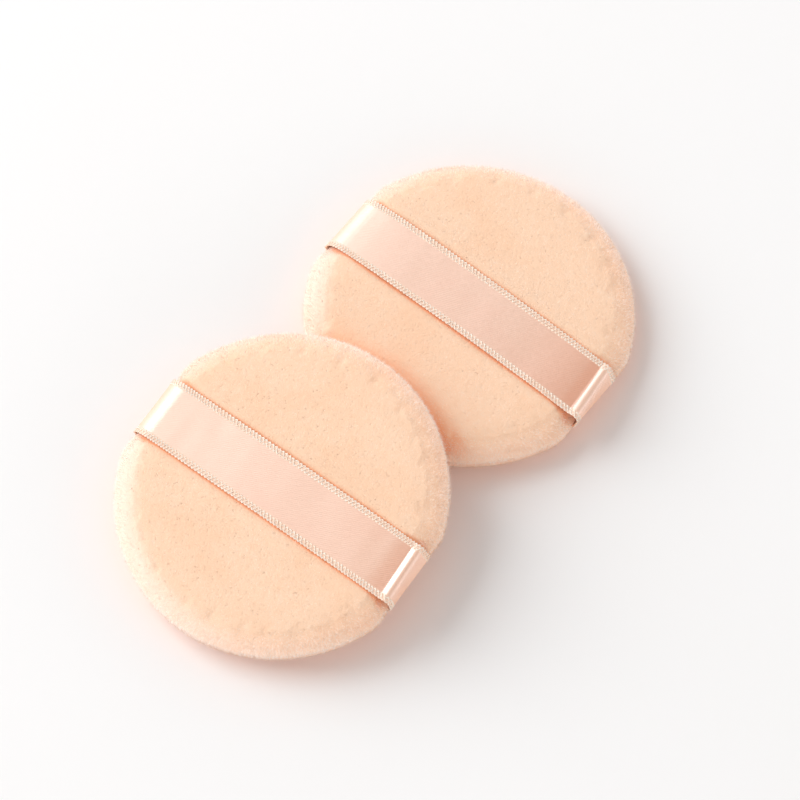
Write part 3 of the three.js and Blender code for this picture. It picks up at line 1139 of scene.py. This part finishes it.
    def _pressed(self, points: np.ndarray) -> np.ndarray:
        """The pile pressed down by the strap, and standing up a little beside it."""
        moved = points.copy()
        over = smoothstep(points[:, 2], *self.press_from)
        off = np.abs(points[:, 0])
        within, beyond = self.press_edge
        under = 1 - smoothstep(off, self.strap_half_width - within, self.strap_half_width + beyond)
        beside = np.exp(-(((off - self.strap_half_width - self.bulge_off) / self.bulge_width) ** 2))
        bowed = self.form.bow_at(points[:, 1], self.strap_bow)
        raised = self.bow_share * bowed * (1 - smoothstep(off, *self.bow_fade))
        corner = np.exp(-(((points[:, 1] + self.corner_at) / self.corner_length) ** 2))
        raised += self.corner_fill * (corner * (1 - smoothstep(off, *self.corner_fade)))
        moved[:, 2] += over * (raised + self.strap_bulge * beside - self.strap_press * under)
        return moved

    def mesh(self) -> tuple[np.ndarray, list]:
        """The cover's points in the puff's frame, and its faces."""
        room = self.swell_room
        face, rings = (self._shouldered(part) for part in self._outside(self.fineness, room))
        face, rings = self._with_swell(face, rings)
        outer = face.shape[0] * face.shape[1] + rings.shape[0] * rings.shape[1]
        inside, tip = self._inside(rings[-1])
        points, faces = self._joined(face, [*rings, *inside], self.cage_steps * self.fineness, tip)
        if self.side is Side.FACE:
            points = self._pressed(points)
        normals = vertex_normals(points, faces)
        shown = np.zeros(len(points))
        shown[:outer] = smoothstep(points[:outer, 2], *self.relief_from)
        noise = SoftNoise(self.seed)
        clumps, waves = noise.layered(points, self.CLUMPS), noise.layered(points, self.WAVES)
        lift = self.clump_relief * clumps + self.wave_relief * waves
        if self.side is Side.POWDER:
            lift -= self.clump_relief + self.wave_relief
        points = points + normals * (lift * shown)[:, None]
        if self.side is Side.POWDER:
            points[:, 2] = -np.minimum(points[:, 2], self.form.powder_rim - self.table_room)
            faces = turned_over(faces)
        return self.form.pulled(points, self.form.pull_half_width), faces

    def attributes(self, points: np.ndarray, lit_side: tuple[float, float]) -> dict[str, np.ndarray]:
        """What the velour's finish needs to know of the cover's points.

        Args:
            points: The points in the puff's frame.
            lit_side: Which way the light comes from, so that the painted sheen pales the rim most on that side.

        Returns:
            How much painted sheen pales the rim, and how near the seam, where the painted crevice shade is less, for
            each point.
        """
        distance = np.hypot(points[:, 0], points[:, 1])
        lie = (points[:, :2] @ np.array(lit_side)) / np.maximum(distance, 1)
        least, gain = self.painted_sheen_levels
        # Painted sheen: the rim paler, more and further in on the side the light comes from.
        pale = (least + gain * lie) * smoothstep(distance + self.lit_side_widening * np.maximum(lie, 0), *self.painted_sheen_fade)
        if self.side is Side.FACE:
            return {"rim": pale, "seam": 1 - smoothstep(points[:, 2], *self.face_seam_fade)}
        return {"rim": pale, "seam": 1 - self.powder_seam_loss * smoothstep(-points[:, 2], *self.powder_seam_fade)}


@dataclass
class VelourPile:
    """The short fibres that stand on a velour cover, densest round the rim, where they soften its outline."""

    form: PuffForm
    seed: int
    rim_density: float = 32.0
    face_density: float = 5.0
    shortest: float = 0.35
    longest: float = 0.95
    width: float = 0.055
    root: float = 0.03
    lean: float = 0.8
    sway: tuple = (0.4, 1.0)
    seam_lean: float = 1.1
    seam_lean_fade: tuple = (0.7, 1.7)
    strap_clearance: float = 6.3
    dense_from: tuple = (25.0, 29.6)
    seam_bare: tuple = (0.3, 0.65)
    long_from: tuple = (25.5, 29.6)
    face_loss: float = 0.45
    other_room: float = 0.8
    other_height: float = 5.1

    def _density(self, spots: np.ndarray) -> np.ndarray:
        """How many fibres stand on a square millimetre at each spot."""
        rim = smoothstep(np.hypot(spots[:, 0], spots[:, 1]), *self.dense_from)
        density = self.face_density + (self.rim_density - self.face_density) * rim
        density *= smoothstep(np.abs(spots[:, 2]), *self.seam_bare)
        over_strap = (np.abs(spots[:, 0]) < self.strap_clearance) & (spots[:, 2] > 0)
        return np.where(over_strap, 0.0, density)

    def mesh(self, skin: np.ndarray, cells: np.ndarray, other: np.ndarray) -> tuple[np.ndarray, list]:
        """The fibres as slim triangles that face outwards.

        Args:
            skin: The cover's points in the puff's frame.
            cells: The four point numbers of each outside cell.
            other: The matrix from this puff's frame to the other puff's.

        Returns:
            The points and the faces.
        """
        draw = np.random.default_rng(self.seed)
        a, b, c, d = (skin[cells[:, k]] for k in range(4))
        cross = np.cross(c - a, d - b)
        area = np.linalg.norm(cross, axis=1) / 2
        normal = cross / np.maximum(np.linalg.norm(cross, axis=1, keepdims=True), TINY)
        middle = (a + b + c + d) / 4
        there = middle @ other[:3, :3].T + other[:3, 3]
        near = np.hypot(there[:, 0], there[:, 1]) < self.form.radius + self.other_room
        near &= np.abs(there[:, 2]) < self.other_height
        wanted = self._density(middle) * area * ~near
        pick = np.repeat(np.arange(len(cells)), draw.poisson(wanted))
        u, v = draw.uniform(size=(2, len(pick), 1))
        foot = (a[pick] * (1 - u) + b[pick] * u) * (1 - v) + (d[pick] * (1 - u) + c[pick] * u) * v
        upright = normal[pick]
        sway = draw.normal(size=(len(pick), 3))
        sway -= upright * np.sum(sway * upright, axis=1, keepdims=True)
        way = upright + unit(sway) * draw.uniform(*self.sway, size=(len(pick), 1)) * self.lean
        seam = 1 - smoothstep(np.abs(foot[:, 2]), *self.seam_lean_fade)
        way[:, 2] -= np.sign(foot[:, 2]) * self.seam_lean * seam
        way = unit(way)
        flat = np.cross(way, upright)
        flat *= self.width / 2 / np.linalg.norm(flat, axis=1, keepdims=True)
        length = draw.uniform(self.shortest, self.longest, size=(len(pick), 1))
        length *= 1 - self.face_loss * (1 - smoothstep(np.hypot(foot[:, :1], foot[:, 1:2]), *self.long_from))
        foot = foot - upright * self.root
        points = np.stack([foot + flat, foot - flat, foot + way * (length + self.root)], axis=1).reshape(-1, 3)
        points[:, 2] = np.maximum(points[:, 2], -self.form.powder_rim)
        return points, [(k, k + 1, k + 2) for k in range(0, len(points), 3)]


@dataclass
class SpongeCore:
    """The sponge disc inside a puff, its rim pressed in round the seam allowances."""

    form: PuffForm
    seed: int
    segments: int = 144
    groove: float = 2.0
    pole: float = 0.6
    floor_height: float = 0.7
    pore_depth: float = 0.16

    # The size, share and shift of each layer of pores.
    PORES = ((0.9, 1.0, 0.0), (0.5, 0.5, 13.3))

    def _line(self) -> np.ndarray:
        """Radius and height down the core in section, from the top's edge to the bottom's."""
        form = self.form
        parts = []
        for side in (Side.FACE, Side.POWDER):
            radius = form.rim(side) - form.cloth - form.gap
            centre = form.radius - form.rim(side)
            turn = arc(centre, 0, radius, math.pi / 2, math.asin(self.groove / radius), 6)
            floor = form.mouth_radius - form.allowance_reach - form.gap
            flat = [(r, radius + float(form.crown_at(r, side))) for r in np.linspace(self.pole, centre, 26)[:-1]]
            ledge = [(r, self.groove) for r in np.linspace(turn[-1][0], floor, 4)[1:]]
            half = [*flat, *turn, *ledge, (floor, self.floor_height)]
            parts.append(np.array(half) * np.array([1, side.value]))
        return np.concatenate([parts[0], parts[1][::-1]])

    def mesh(self) -> tuple[np.ndarray, list]:
        """The core's points in the puff's frame, and its faces."""
        line = self._line()
        points = ring(line[:, :1], full_turn(self.segments), line[:, 1:]).reshape(-1, 3)
        loops = [range(k * self.segments, (k + 1) * self.segments) for k in range(len(line))]
        faces = [face for first, second in zip(loops, loops[1:]) for face in band(first, second)]
        faces += [tuple(loops[0]), tuple(reversed(loops[-1]))]
        normals = vertex_normals(points, faces)
        noise = SoftNoise(self.seed)
        pores = sum(share * np.maximum(noise.at(points + shift, size), 0) for size, share, shift in self.PORES)
        points = points - normals * (self.pore_depth * pores)[:, None]
        return self.form.pulled(points, self.form.pull_half_width), faces


@dataclass
class RibbonStrap:
    """The satin strap: its middle line, half by half, the ribbon itself, and the picot edging along its selvedges."""

    form: PuffForm
    seed: int
    width: float = 11.8
    thickness: float = 0.24
    tail: float = 3.6
    bend_radius: float = 0.7
    crease_rise: float = 0.02
    crease_radius: float = 0.8
    drop_lean: float = math.radians(16)
    crease_skew: float = 0.6
    skew_from: tuple = (21.0, 28.4)
    skew_fade: tuple = (0.5, 3.2)
    pleat_rise: float = 0.03
    pleat_from: tuple = (26.6, 28.2)
    pleat_fade: tuple = (0.5, 2.0)
    pleat_grid: tuple = (0.12, 0.35)
    pleat_size: float = 0.9
    bow_rise: float = 0.5
    rounded_droop: float = 0.32
    creased_droop: float = 0.26
    wave_rise: float = 0.09
    wave_stretch: float = 0.55
    wave_fade: tuple = (22.0, 27.5)
    rise_fade: tuple = (0.8, 2.5)
    columns: int = 44
    crowding: float = 0.9
    hem_width: float = 0.12
    hem_share: float = 0.45
    selvedge: float = 1.2
    yarn: float = 0.165
    yarn_flatness: float = 0.5
    yarn_sides: int = 6
    yarn_step: float = 0.11
    yarn_lift: tuple = (0.02, 0.04)
    yarn_end: float = 0.4
    picot_pitch: float = 1.5
    picot_out: float = 0.1
    picot_inset: float = 0.12

    FACE_STEPS, ROUND_STEPS, BEND_STEPS, TAIL_STEPS = 112, 26, 8, 8
    RISE_STEPS, CREST_STEPS, DROP_STEPS, FOOT_STEPS = 24, 10, 14, 4
    # The size, share and shift of each layer of noise.
    WAVES = ((7.5, 0.7, 0.0), (3.4, 0.3, 17.9))
    # Where the droop starts, how long it takes, its power, and where it starts and ends to rise again.
    DROOPS = {
        StrapEnd.ROUNDED: (17.0, 9.5, 2, 26.3, 30.0),
        StrapEnd.CREASED: (18.0, 9.4, 1.5, 27.4, 28.6),
    }

    @property
    def reach(self) -> float:
        """The radius of the strap's middle line about the rim's centre."""
        return self.form.face_rim + self.form.gap + self.thickness / 2

    @property
    def rim_centre(self) -> float:
        """How far the rim's centre lies from the puff's axis."""
        return self.form.radius - self.form.face_rim

    def _creased_rim(self, bend_angle: float) -> list:
        """The creased end from the edge of the face to the bend at the seam."""
        crest_y = self.reach + self.crease_rise - self.crease_radius
        crest_reach = (self.reach - self.crease_radius - crest_y * math.sin(self.drop_lean)) / math.cos(self.drop_lean)
        crest_x = self.rim_centre + crest_reach
        distance = self.rim_centre + crest_reach * np.arange(self.RISE_STEPS) / self.RISE_STEPS
        points = list(zip(distance, self.reach + self.crease_rise * (distance - self.rim_centre) / crest_reach))
        points += arc(crest_x, crest_y, self.crease_radius, math.pi / 2, self.drop_lean, self.CREST_STEPS)
        top = np.array(points[-1])
        foot = arc(self.rim_centre, 0, self.reach, self.drop_lean, bend_angle, self.FOOT_STEPS)
        shares = np.arange(1, self.DROP_STEPS) / self.DROP_STEPS
        return [*points, *(tuple(top + (np.array(foot[0]) - top) * share) for share in shares), *foot]

    def half_line(self, end: StrapEnd) -> np.ndarray:
        """The middle line of half a strap, from the middle of the puff to its end in the seam.

        Args:
            end: How that half reaches the seam.

        Returns:
            Distance from the puff's axis and height, for each point.
        """
        bend_reach = math.sqrt((self.reach - self.bend_radius) ** 2 - self.bend_radius ** 2)
        bend_angle = math.atan2(self.bend_radius, bend_reach)
        distance = self.rim_centre * np.arange(self.FACE_STEPS) / self.FACE_STEPS
        points = list(zip(distance, self.reach + self.form.crown_at(distance, Side.FACE)))
        if end is StrapEnd.CREASED:
            points += self._creased_rim(bend_angle)
        else:
            points += arc(self.rim_centre, 0, self.reach, math.pi / 2, bend_angle, self.ROUND_STEPS)
        bend_x, tail_end = self.rim_centre + bend_reach, self.form.mouth_radius - self.tail
        points += arc(bend_x, self.bend_radius, self.bend_radius, bend_angle, -math.pi / 2, self.BEND_STEPS)[1:]
        points += [(r, 0.0) for r in np.linspace(bend_x, tail_end, self.TAIL_STEPS + 1)[1:]]
        return np.array(points, float)

    def half_length(self, end: StrapEnd) -> float:
        """The length of ribbon in half a strap."""
        return float(run_along(self.half_line(end))[-1])

    def _framed(self, end: StrapEnd) -> tuple[np.ndarray, np.ndarray, np.ndarray]:
        """The half line with its upward normals and its running length."""
        line = self.half_line(end)
        along = np.gradient(line, axis=0)
        along[0] = (1, 0)
        along = unit(along)
        return line, np.stack([-along[:, 1], along[:, 0]], axis=1), run_along(line)

    def _wave(self, x: np.ndarray, y: np.ndarray) -> np.ndarray:
        """The soft waves in which the ribbon lies, over its face and fading to its ends."""
        flat = np.stack([x * self.wave_stretch, y, np.zeros_like(y)], axis=1)
        fade = 1 - smoothstep(np.abs(y), *self.wave_fade)
        wave = self.wave_rise * fade * SoftNoise(self.seed).layered(flat, self.WAVES)
        return wave + self.form.bow_at(y, self.bow_rise)

    def _droop(self, end: StrapEnd, distance: np.ndarray) -> np.ndarray:
        """How far the ribbon sinks towards its end, at a distance from the puff's axis, before its rim or its crest."""
        depth = self.creased_droop if end is StrapEnd.CREASED else self.rounded_droop
        start, length, power, held, risen = self.DROOPS[end]
        sunk = np.clip((distance - start) / length, 0, 1) ** power
        return depth * sunk * (1 - smoothstep(distance, held, risen))

    def on_strap(self, end: StrapEnd, x: np.ndarray, lift: np.ndarray, index: np.ndarray) -> np.ndarray:
        """Points on or above the strap's middle line.

        Args:
            end: Which half.
            x: How far across each point lies.
            lift: How far above the middle line.
            index: Where along the half line, in steps of it, with shares between.

        Returns:
            The points in the puff's frame, drawn in with the rim.
        """
        line, up, _ = self._framed(end)
        base = np.clip(np.floor(index).astype(int), 0, len(line) - 2)
        share = (index - base)[:, None]
        at = line[base] * (1 - share) + line[base + 1] * share
        normal = up[base] * (1 - share) + up[base + 1] * share
        if end is StrapEnd.CREASED:
            crest = smoothstep(at[:, 0], *self.pleat_from)
            grid = np.stack([x * self.pleat_grid[0], index * self.pleat_grid[1], np.zeros_like(x)], axis=1)
            pleats = SoftNoise(self.seed + 1).at(grid, self.pleat_size)
            lift = lift + self.pleat_rise * crest * smoothstep(at[:, 1], *self.pleat_fade) * pleats
        spot = at + normal * lift[:, None]
        y = spot[:, 0] * end.value
        if end is StrapEnd.CREASED:
            spread = smoothstep(at[:, 0], *self.skew_from)
            skew = self.crease_skew * (1 - x / self.width * 2) * spread
            y = y - skew * smoothstep(at[:, 1], *self.skew_fade)
        rise = self._wave(x, y) - self._droop(end, at[:, 0])
        points = np.stack([x, y, spot[:, 1] + rise * smoothstep(at[:, 1], *self.rise_fade)], axis=1)
        return self.form.pulled(points, self.width / 2)

    def ribbon(self, end: StrapEnd) -> tuple[np.ndarray, list, np.ndarray, list]:
        """Half the ribbon as a thin closed solid.

        Args:
            end: Which half.

        Returns:
            Its points, its faces, the weave coordinates of each point, and the numbers of its end faces.
        """
        _, _, run = self._framed(end)
        rows, half = len(run), self.width / 2
        quarter = math.pi / 2
        across = half * np.sin(np.linspace(-1, 1, self.columns + 1) * quarter * self.crowding)
        across /= math.sin(quarter * self.crowding)
        index = np.repeat(np.arange(rows), len(across)).astype(float)
        x = np.tile(across, rows)
        edge = np.minimum(smoothstep(half - np.abs(x), 0.0, self.hem_width) + self.hem_share, 1.0)
        body = self.thickness / 2 * edge
        top = self.on_strap(end, x, body, index)
        bottom = self.on_strap(end, x, -body, index)
        count, wide = len(top), len(across)
        faces = []
        for r in range(rows - 1):
            for c in range(wide - 1):
                a, b = r * wide + c, (r + 1) * wide + c
                faces.append((a, a + 1, b + 1, b))
                faces.append((count + a, count + b, count + b + 1, count + a + 1))
            a, b = r * wide, (r + 1) * wide
            faces.append((a, b, count + b, count + a))
            a, b = a + wide - 1, b + wide - 1
            faces.append((a, count + a, count + b, b))
        ends = []
        for a in (0, (rows - 1) * wide):
            row = list(range(a, a + wide)) + [count + k for k in range(a + wide - 1, a - 1, -1)]
            ends.append(len(faces))
            faces.append(tuple(reversed(row)) if a == 0 else tuple(row))
        if end is StrapEnd.CREASED:
            faces = turned_over(faces)
        weave = np.stack([np.tile(x, 2), np.tile(run[index.astype(int)] * end.value, 2)], axis=1)
        return np.concatenate([top, bottom]), faces, weave, ends

    def edging(self, end: StrapEnd) -> tuple[np.ndarray, list]:
        """The yarns that cross to and fro along both selvedges of half the ribbon, with a picot at each turn.

        Args:
            end: Which half.

        Returns:
            Their points in the puff's frame, and their faces.
        """
        _, _, run = self._framed(end)
        number = np.arange(len(run))
        last = float(np.interp(run[-1] - self.tail - self.yarn_end, run, number))
        spots = np.interp(np.arange(0, np.interp(last, number, run), self.yarn_step), run, number)
        length = np.interp(spots, number, run)
        middle = self.width / 2 - self.selvedge / 2 + self.picot_out
        low, high = self.yarn_lift
        points, faces, total = [], [], 0
        sides, count = self.yarn_sides, len(spots)
        for edge in (-1, 1):
            for phase in (0.0, math.pi):
                swing = 2 * math.pi * length / self.picot_pitch + phase + edge
                x = edge * (middle + (self.selvedge / 2 - self.picot_inset) * np.sin(swing))
                lift = self.thickness / 2 + low + high * np.cos(swing)
                for turn in full_turn(sides):
                    points.append(self.on_strap(end, x + self.yarn * math.cos(turn),
                                                lift + self.yarn * self.yarn_flatness * math.sin(turn), spots))
                loops = [range(total + k * count, total + (k + 1) * count) for k in range(sides)]
                for first, second in zip(loops, [*loops[1:], loops[0]]):
                    faces += band(first, second)[:-1]
                faces.append(tuple(loop[0] for loop in reversed(loops)))
                faces.append(tuple(loop[-1] for loop in loops))
                total += sides * count
        if end is StrapEnd.ROUNDED:
            faces = turned_over(faces)
        return np.concatenate(points), faces


@dataclass
class SewingThread:
    """A two-ply thread laid along a path."""

    path: np.ndarray
    closed: bool
    ply: float = 0.085
    ply_offset: float = 0.065
    twist_pitch: float = 1.1
    sides: int = 5

    def mesh(self) -> tuple[np.ndarray, list]:
        """The two plies' points in the path's frame, and their faces."""
        path = self.path
        along = np.roll(path, -1, axis=0) - np.roll(path, 1, axis=0)
        if not self.closed:
            along[0], along[-1] = path[1] - path[0], path[-1] - path[-2]
        along = unit(along)
        side = unit(np.cross(along, [0, 0, 1.0]))
        up = np.cross(side, along)
        run = run_along(path)
        if self.closed:
            whole = run[-1] + float(np.linalg.norm(path[0] - path[-1]))
            turns = max(1, round(whole / self.twist_pitch)) / whole
        else:
            turns = 1 / self.twist_pitch
        points, faces, count = [], [], len(path)
        for strand in range(2):
            angle = 2 * math.pi * turns * run + math.pi * strand
            centre = path + self.ply_offset * (np.cos(angle)[:, None] * side + np.sin(angle)[:, None] * up)
            start = strand * self.sides * count
            for k, turn in enumerate(full_turn(self.sides)):
                points.append(centre + self.ply * (math.cos(turn) * side + math.sin(turn) * up))
                a, b = start + k * count, start + (k + 1) % self.sides * count
                span = count if self.closed else count - 1
                faces += [(a + r, a + (r + 1) % count, b + (r + 1) % count, b + r) for r in range(span)]
            if not self.closed:
                faces.append(tuple(start + k * count for k in range(self.sides)))
                faces.append(tuple(start + (self.sides - 1 - k) * count + count - 1 for k in range(self.sides)))
        return np.concatenate(points), faces


@dataclass
class Puff:
    """One powder puff: two velour covers over a sponge, sewn round the rim, with a satin strap in the seam."""

    place: Placement
    finishes: Finishes
    satin: bpy.types.Material
    form: PuffForm = field(default_factory=PuffForm)
    strap_bow: float = 0.5
    strap_droop: float = 0.32
    crease_skew: float = 0.6
    stitch_length: float = 3.7
    stitch_low: float = 1.05
    stitch_rise: float = 0.25
    stitch_radii: tuple = (28.11, 28.12)
    stitch_points: int = 8
    closing_length: float = 18.0
    closing_stitch: float = 1.5
    closing_sway: float = 0.1
    closing_inset: float = 0.25
    closing_points: int = 6
    # The side the light comes from, towards which the painted sheen pales the rim.
    lit_side: tuple = (-0.6, 0.8)

    # How far the seeds of the pieces lie from the puff's own.
    CORE_SEED, STRAP_SEED, PILE_SEED = 5, 9, 20

    def _name(self, part: str) -> str:
        """A piece's name, with the puff's own name before it."""
        return f"{self.place.name}_{part}"

    def _put(self, part: str, points: np.ndarray, faces: list, material: bpy.types.Material,
             sharp: list | None = None) -> bpy.types.Object:
        """Places a piece in the model's frame and gives it its finish."""
        piece = mesh_piece(self._name(part), self.place.placed(points), faces, material, sharp)
        log.info("%s: %d faces", piece.name, len(faces))
        return piece

    def build_covers(self, other: Placement) -> None:
        """The two velour covers, each with its pile.

        Args:
            other: Where the other puff lies, so that no fibre reaches into it.
        """
        across = np.array(other.matrix.inverted() @ self.place.matrix)
        for side in (Side.POWDER, Side.FACE):
            word = side.name.lower()
            cover = VelourCover(self.form, side, self.place.seed + side.value, strap_bow=self.strap_bow)
            points, faces = cover.mesh()
            piece = self._put(f"{word}_velour", points, faces, self.finishes.velour)
            for label, values in cover.attributes(points, self.lit_side).items():
                layer = piece.data.attributes.new(label, "FLOAT", "POINT")
                layer.data.foreach_set("value", values.astype(np.float32))
            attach(piece, self.place.body)
            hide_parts(self._name(f"{word}_cover"))
            pile = VelourPile(self.form, self.place.seed + self.PILE_SEED + side.value)
            tufts, blades = pile.mesh(points, np.array(faces[:cover.outer_cells]), across)
            fuzz = self._put(f"{word}_pile", tufts, blades, self.finishes.pile)
            fuzz.visible_shadow = False
            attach(fuzz, self.place.body)

    def build_core(self) -> None:
        """The sponge disc inside."""
        points, faces = SpongeCore(self.form, self.place.seed + self.CORE_SEED).mesh()
        piece = self._put("sponge", points, faces, self.finishes.sponge)
        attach(piece, self.place.body)
        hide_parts(self._name("foam_core"))

    def _stitch_path(self, radius: float, side: Side) -> np.ndarray:
        """The path of one thread of the lockstitch, round the rim."""
        stitches = round(2 * math.pi * radius / self.stitch_length)
        angle = full_turn(stitches * self.stitch_points)
        height = self.stitch_low + self.stitch_rise * (1 - np.cos(angle * stitches)) / 2
        return ring(radius, angle, side.value * height)

    def build_threads(self) -> None:
        """The lockstitch's two threads, and the hand-sewn closing."""
        radius = self.form.radius - self.closing_inset
        count = round(self.closing_length / self.closing_stitch) * self.closing_points
        share = np.arange(count + 1) / count
        angle = self.closing_length / radius * (share - 0.5) + math.radians(self.place.closing_turn)
        sway = self.closing_sway * np.cos(share * math.pi * count / (self.closing_points / 2))
        closing = ring(radius, angle, sway)
        threads = (
            ("needle_yarn", "needle_thread", self._stitch_path(self.stitch_radii[0], Side.FACE), True),
            ("bobbin_yarn", "bobbin_thread", self._stitch_path(self.stitch_radii[1], Side.POWDER), True),
            ("closing_yarn", "closing_thread", closing, False),
        )
        for part, node, path, closed in threads:
            points, faces = SewingThread(path, closed).mesh()
            points = self.form.pulled(points, self.form.pull_half_width)
            piece = self._put(part, points, faces, self.finishes.thread)
            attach(piece, self.place.body)
            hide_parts(self._name(node))

    def build_strap(self) -> None:
        """The two halves of the satin strap, each with its edging."""
        strap = RibbonStrap(self.form, self.place.seed + self.STRAP_SEED, bow_rise=self.strap_bow,
                            crease_skew=self.crease_skew, rounded_droop=self.strap_droop)
        for end in StrapEnd:
            word = end.name.lower()
            points, faces, weave, sharp = strap.ribbon(end)
            ribbon = self._put(f"ribbon_{word}_half", points, faces, self.satin, sharp)
            layer = ribbon.data.uv_layers.new(name="weave")
            corners = np.zeros(len(ribbon.data.loops), int)
            ribbon.data.loops.foreach_get("vertex_index", corners)
            layer.data.foreach_set("uv", weave[corners].astype(np.float32).ravel())
            points, faces = strap.edging(end)
            edging = self._put(f"edging_{word}_half", points, faces, self.finishes.selvedge_yarn)
            seam = self.place.point(0, end.value * (self.form.radius - self.form.pull_depth), 0)
            middle = self.place.point(0, 0, strap.reach + self.form.crown)
            for piece in (ribbon, edging):
                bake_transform(piece, self.place.body, self.place.strap_body, start=seam, end=middle)
                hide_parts(self._name("ribbon"))
            flat = (strap.width * MILLIMETRE, strap.half_length(end) * MILLIMETRE)

    def build(self, other: Placement) -> None:
        """Builds every piece of the puff, clear of the other puff."""
        self.build_core()
        self.build_covers(other)
        self.build_threads()
        self.build_strap()


@dataclass
class Studio:
    """The white table, the soft light and the camera. Metres and degrees."""

    table_size: float = 8.0
    table_rings: int = 24
    table_segments: int = 64
    sweep_rise: float = 0.6
    sweep_from: float = 0.8
    target: tuple[float, float, float] = (-0.01952, -0.0006, 0.0)
    distance: float = 1.0
    azimuth: float = -48.42
    elevation: float = 64.83
    lens: float = 249.07
    sensor: float = 36.0
    key_from: tuple[float, float] = (-0.286, 0.959)
    key_elevation: float = 36.0
    key_distance: float = 2.2
    key_size: tuple[float, float] = (1.9, 1.9)
    key_power: float = 43.2
    key_colour: tuple[float, float, float] = (1.0, 1.0, 1.0)
    clip: tuple[float, float] = (0.01, 50.0)
    fill_low: float = 1.32
    fill_high: float = 0.38
    fill_heights: tuple[float, float] = (0.1, 0.75)
    card_from: tuple[float, float, float] = (0.2, -0.96, 0.2)
    card_facing: tuple[float, float] = (0.3, 0.9)
    card_heights: tuple[float, float] = (0.3, 0.6)
    card_colour: tuple[float, float, float, float] = (1.0, 0.70, 0.58, 1.0)
    card_strength: float = 0.75

    def build_table(self, finishes: Finishes) -> None:
        """The surface that the puffs lie on, swept up far away."""
        count = self.table_segments
        radius = np.linspace(0.0, self.table_size / 2, self.table_rings + 1)[1:]
        sweep = self.sweep_rise * np.maximum(0.0, radius - self.sweep_from * radius[-1]) ** 2
        points = ring(radius[:, None], full_turn(count), sweep[:, None]).reshape(-1, 3)
        loops = [range(1 + k * count, 1 + (k + 1) * count) for k in range(self.table_rings)]
        faces = [(0, first, second) for first, second in zip(loops[0], [*loops[0][1:], loops[0][0]])]
        faces += [face for inner, outer in zip(loops, loops[1:]) for face in band(inner, outer)]
        table = mesh_piece("table", np.concatenate([np.zeros((1, 3)), points]), faces, finishes.table)

    def build_world(self) -> None:
        """The white surroundings, which also fill the shadows."""
        world = bpy.data.worlds.new("white surroundings")
        bpy.context.scene.world = world
        world.use_nodes = True
        sheet = NodeSheet(world.node_tree)
        shown = world.node_tree.nodes["Background"]
        sheet.fill(shown, Color=WHITE, Strength=1.0)
        towards = sheet.add("ShaderNodeTexCoord").outputs["Generated"]
        height = sheet.add("ShaderNodeSeparateXYZ", Vector=towards).outputs[2]
        level = sheet.between(height, *self.fill_heights, self.fill_low, self.fill_high)
        facing = sheet.feed(sheet.add("ShaderNodeVectorMath", {"operation": "DOT_PRODUCT"}), towards, self.card_from)
        card = sheet.times(sheet.between(facing.outputs["Value"], *self.card_facing, 0.0, self.card_strength),
                           sheet.between(height, *self.card_heights, 1.0, 0.0))
        total = sheet.math("ADD", card, level)
        white = sheet.mixed(sheet.math("DIVIDE", card, total), WHITE, self.card_colour)
        lighting = sheet.add("ShaderNodeBackground", Color=white, Strength=total)
        path = sheet.add("ShaderNodeLightPath")
        mix = sheet.feed(sheet.add("ShaderNodeMixShader"), path.outputs["Is Camera Ray"], lighting.outputs[0],
                         shown.outputs[0])
        sheet.put(world.node_tree.nodes["World Output"], "Surface", mix.outputs[0])

    def build_key(self) -> None:
        """The large soft light, from the upper left of the photograph."""
        lamp = bpy.data.lights.new("key", "AREA")
        lamp.shape = "RECTANGLE"
        lamp.size, lamp.size_y = self.key_size
        lamp.energy = self.key_power
        lamp.color = self.key_colour
        key = bpy.data.objects.new("key", lamp)
        bpy.context.scene.collection.objects.link(key)
        rise = math.radians(self.key_elevation)
        level = Vector((*self.key_from, 0.0)).normalized() * math.cos(rise)
        away = Vector((level.x, level.y, math.sin(rise)))
        key.location = away * self.key_distance
        key.rotation_mode = "QUATERNION"
        key.rotation_quaternion = away.to_track_quat("Z", "Y")

    def build_camera(self) -> None:
        """The camera, at the photograph's angle."""
        data = bpy.data.cameras.new("camera")
        data.lens, data.sensor_width = self.lens, self.sensor
        data.clip_start, data.clip_end = self.clip
        camera = bpy.data.objects.new("camera", data)
        bpy.context.scene.collection.objects.link(camera)
        turn, rise = math.radians(self.azimuth), math.radians(self.elevation)
        back = Vector((math.sin(turn) * math.cos(rise), -math.cos(turn) * math.cos(rise), math.sin(rise)))
        camera.location = Vector(self.target) + back * self.distance
        camera.rotation_mode = "QUATERNION"
        camera.rotation_quaternion = back.to_track_quat("Z", "Y")
        bpy.context.scene.camera = camera

    def build(self, finishes: Finishes) -> None:
        """Builds the whole studio."""
        self.build_camera()
        self.build_table(finishes)
        self.build_world()
        self.build_key()
        bpy.context.scene.view_settings.view_transform = "Standard"


def main() -> None:
    """Builds the studio and the pair of puffs."""
    logging.basicConfig(level=logging.INFO, format="%(message)s")
    finishes = Finishes()
    Studio().build(finishes)
    rear = Placement(name="rear", body="rear_puff", strap_body="rear_strap", offset=(0.0, 0.0, 4.3), lean=0.0,
                     turn=3.0, closing_turn=0.0, seed=11)
    front = Placement(name="front", body="front_puff", strap_body="front_strap", offset=(-50.5, 0.0, 8.7153),
                      lean=9.892345, turn=4.5, closing_turn=180.0, seed=47)
    Puff(rear, finishes, finishes.end_shaded_satin).build(front)
    Puff(front, finishes, finishes.satin, strap_bow=0.06, crease_skew=0.35, strap_droop=0.12).build(rear)


if __name__ == "__main__":
    main()
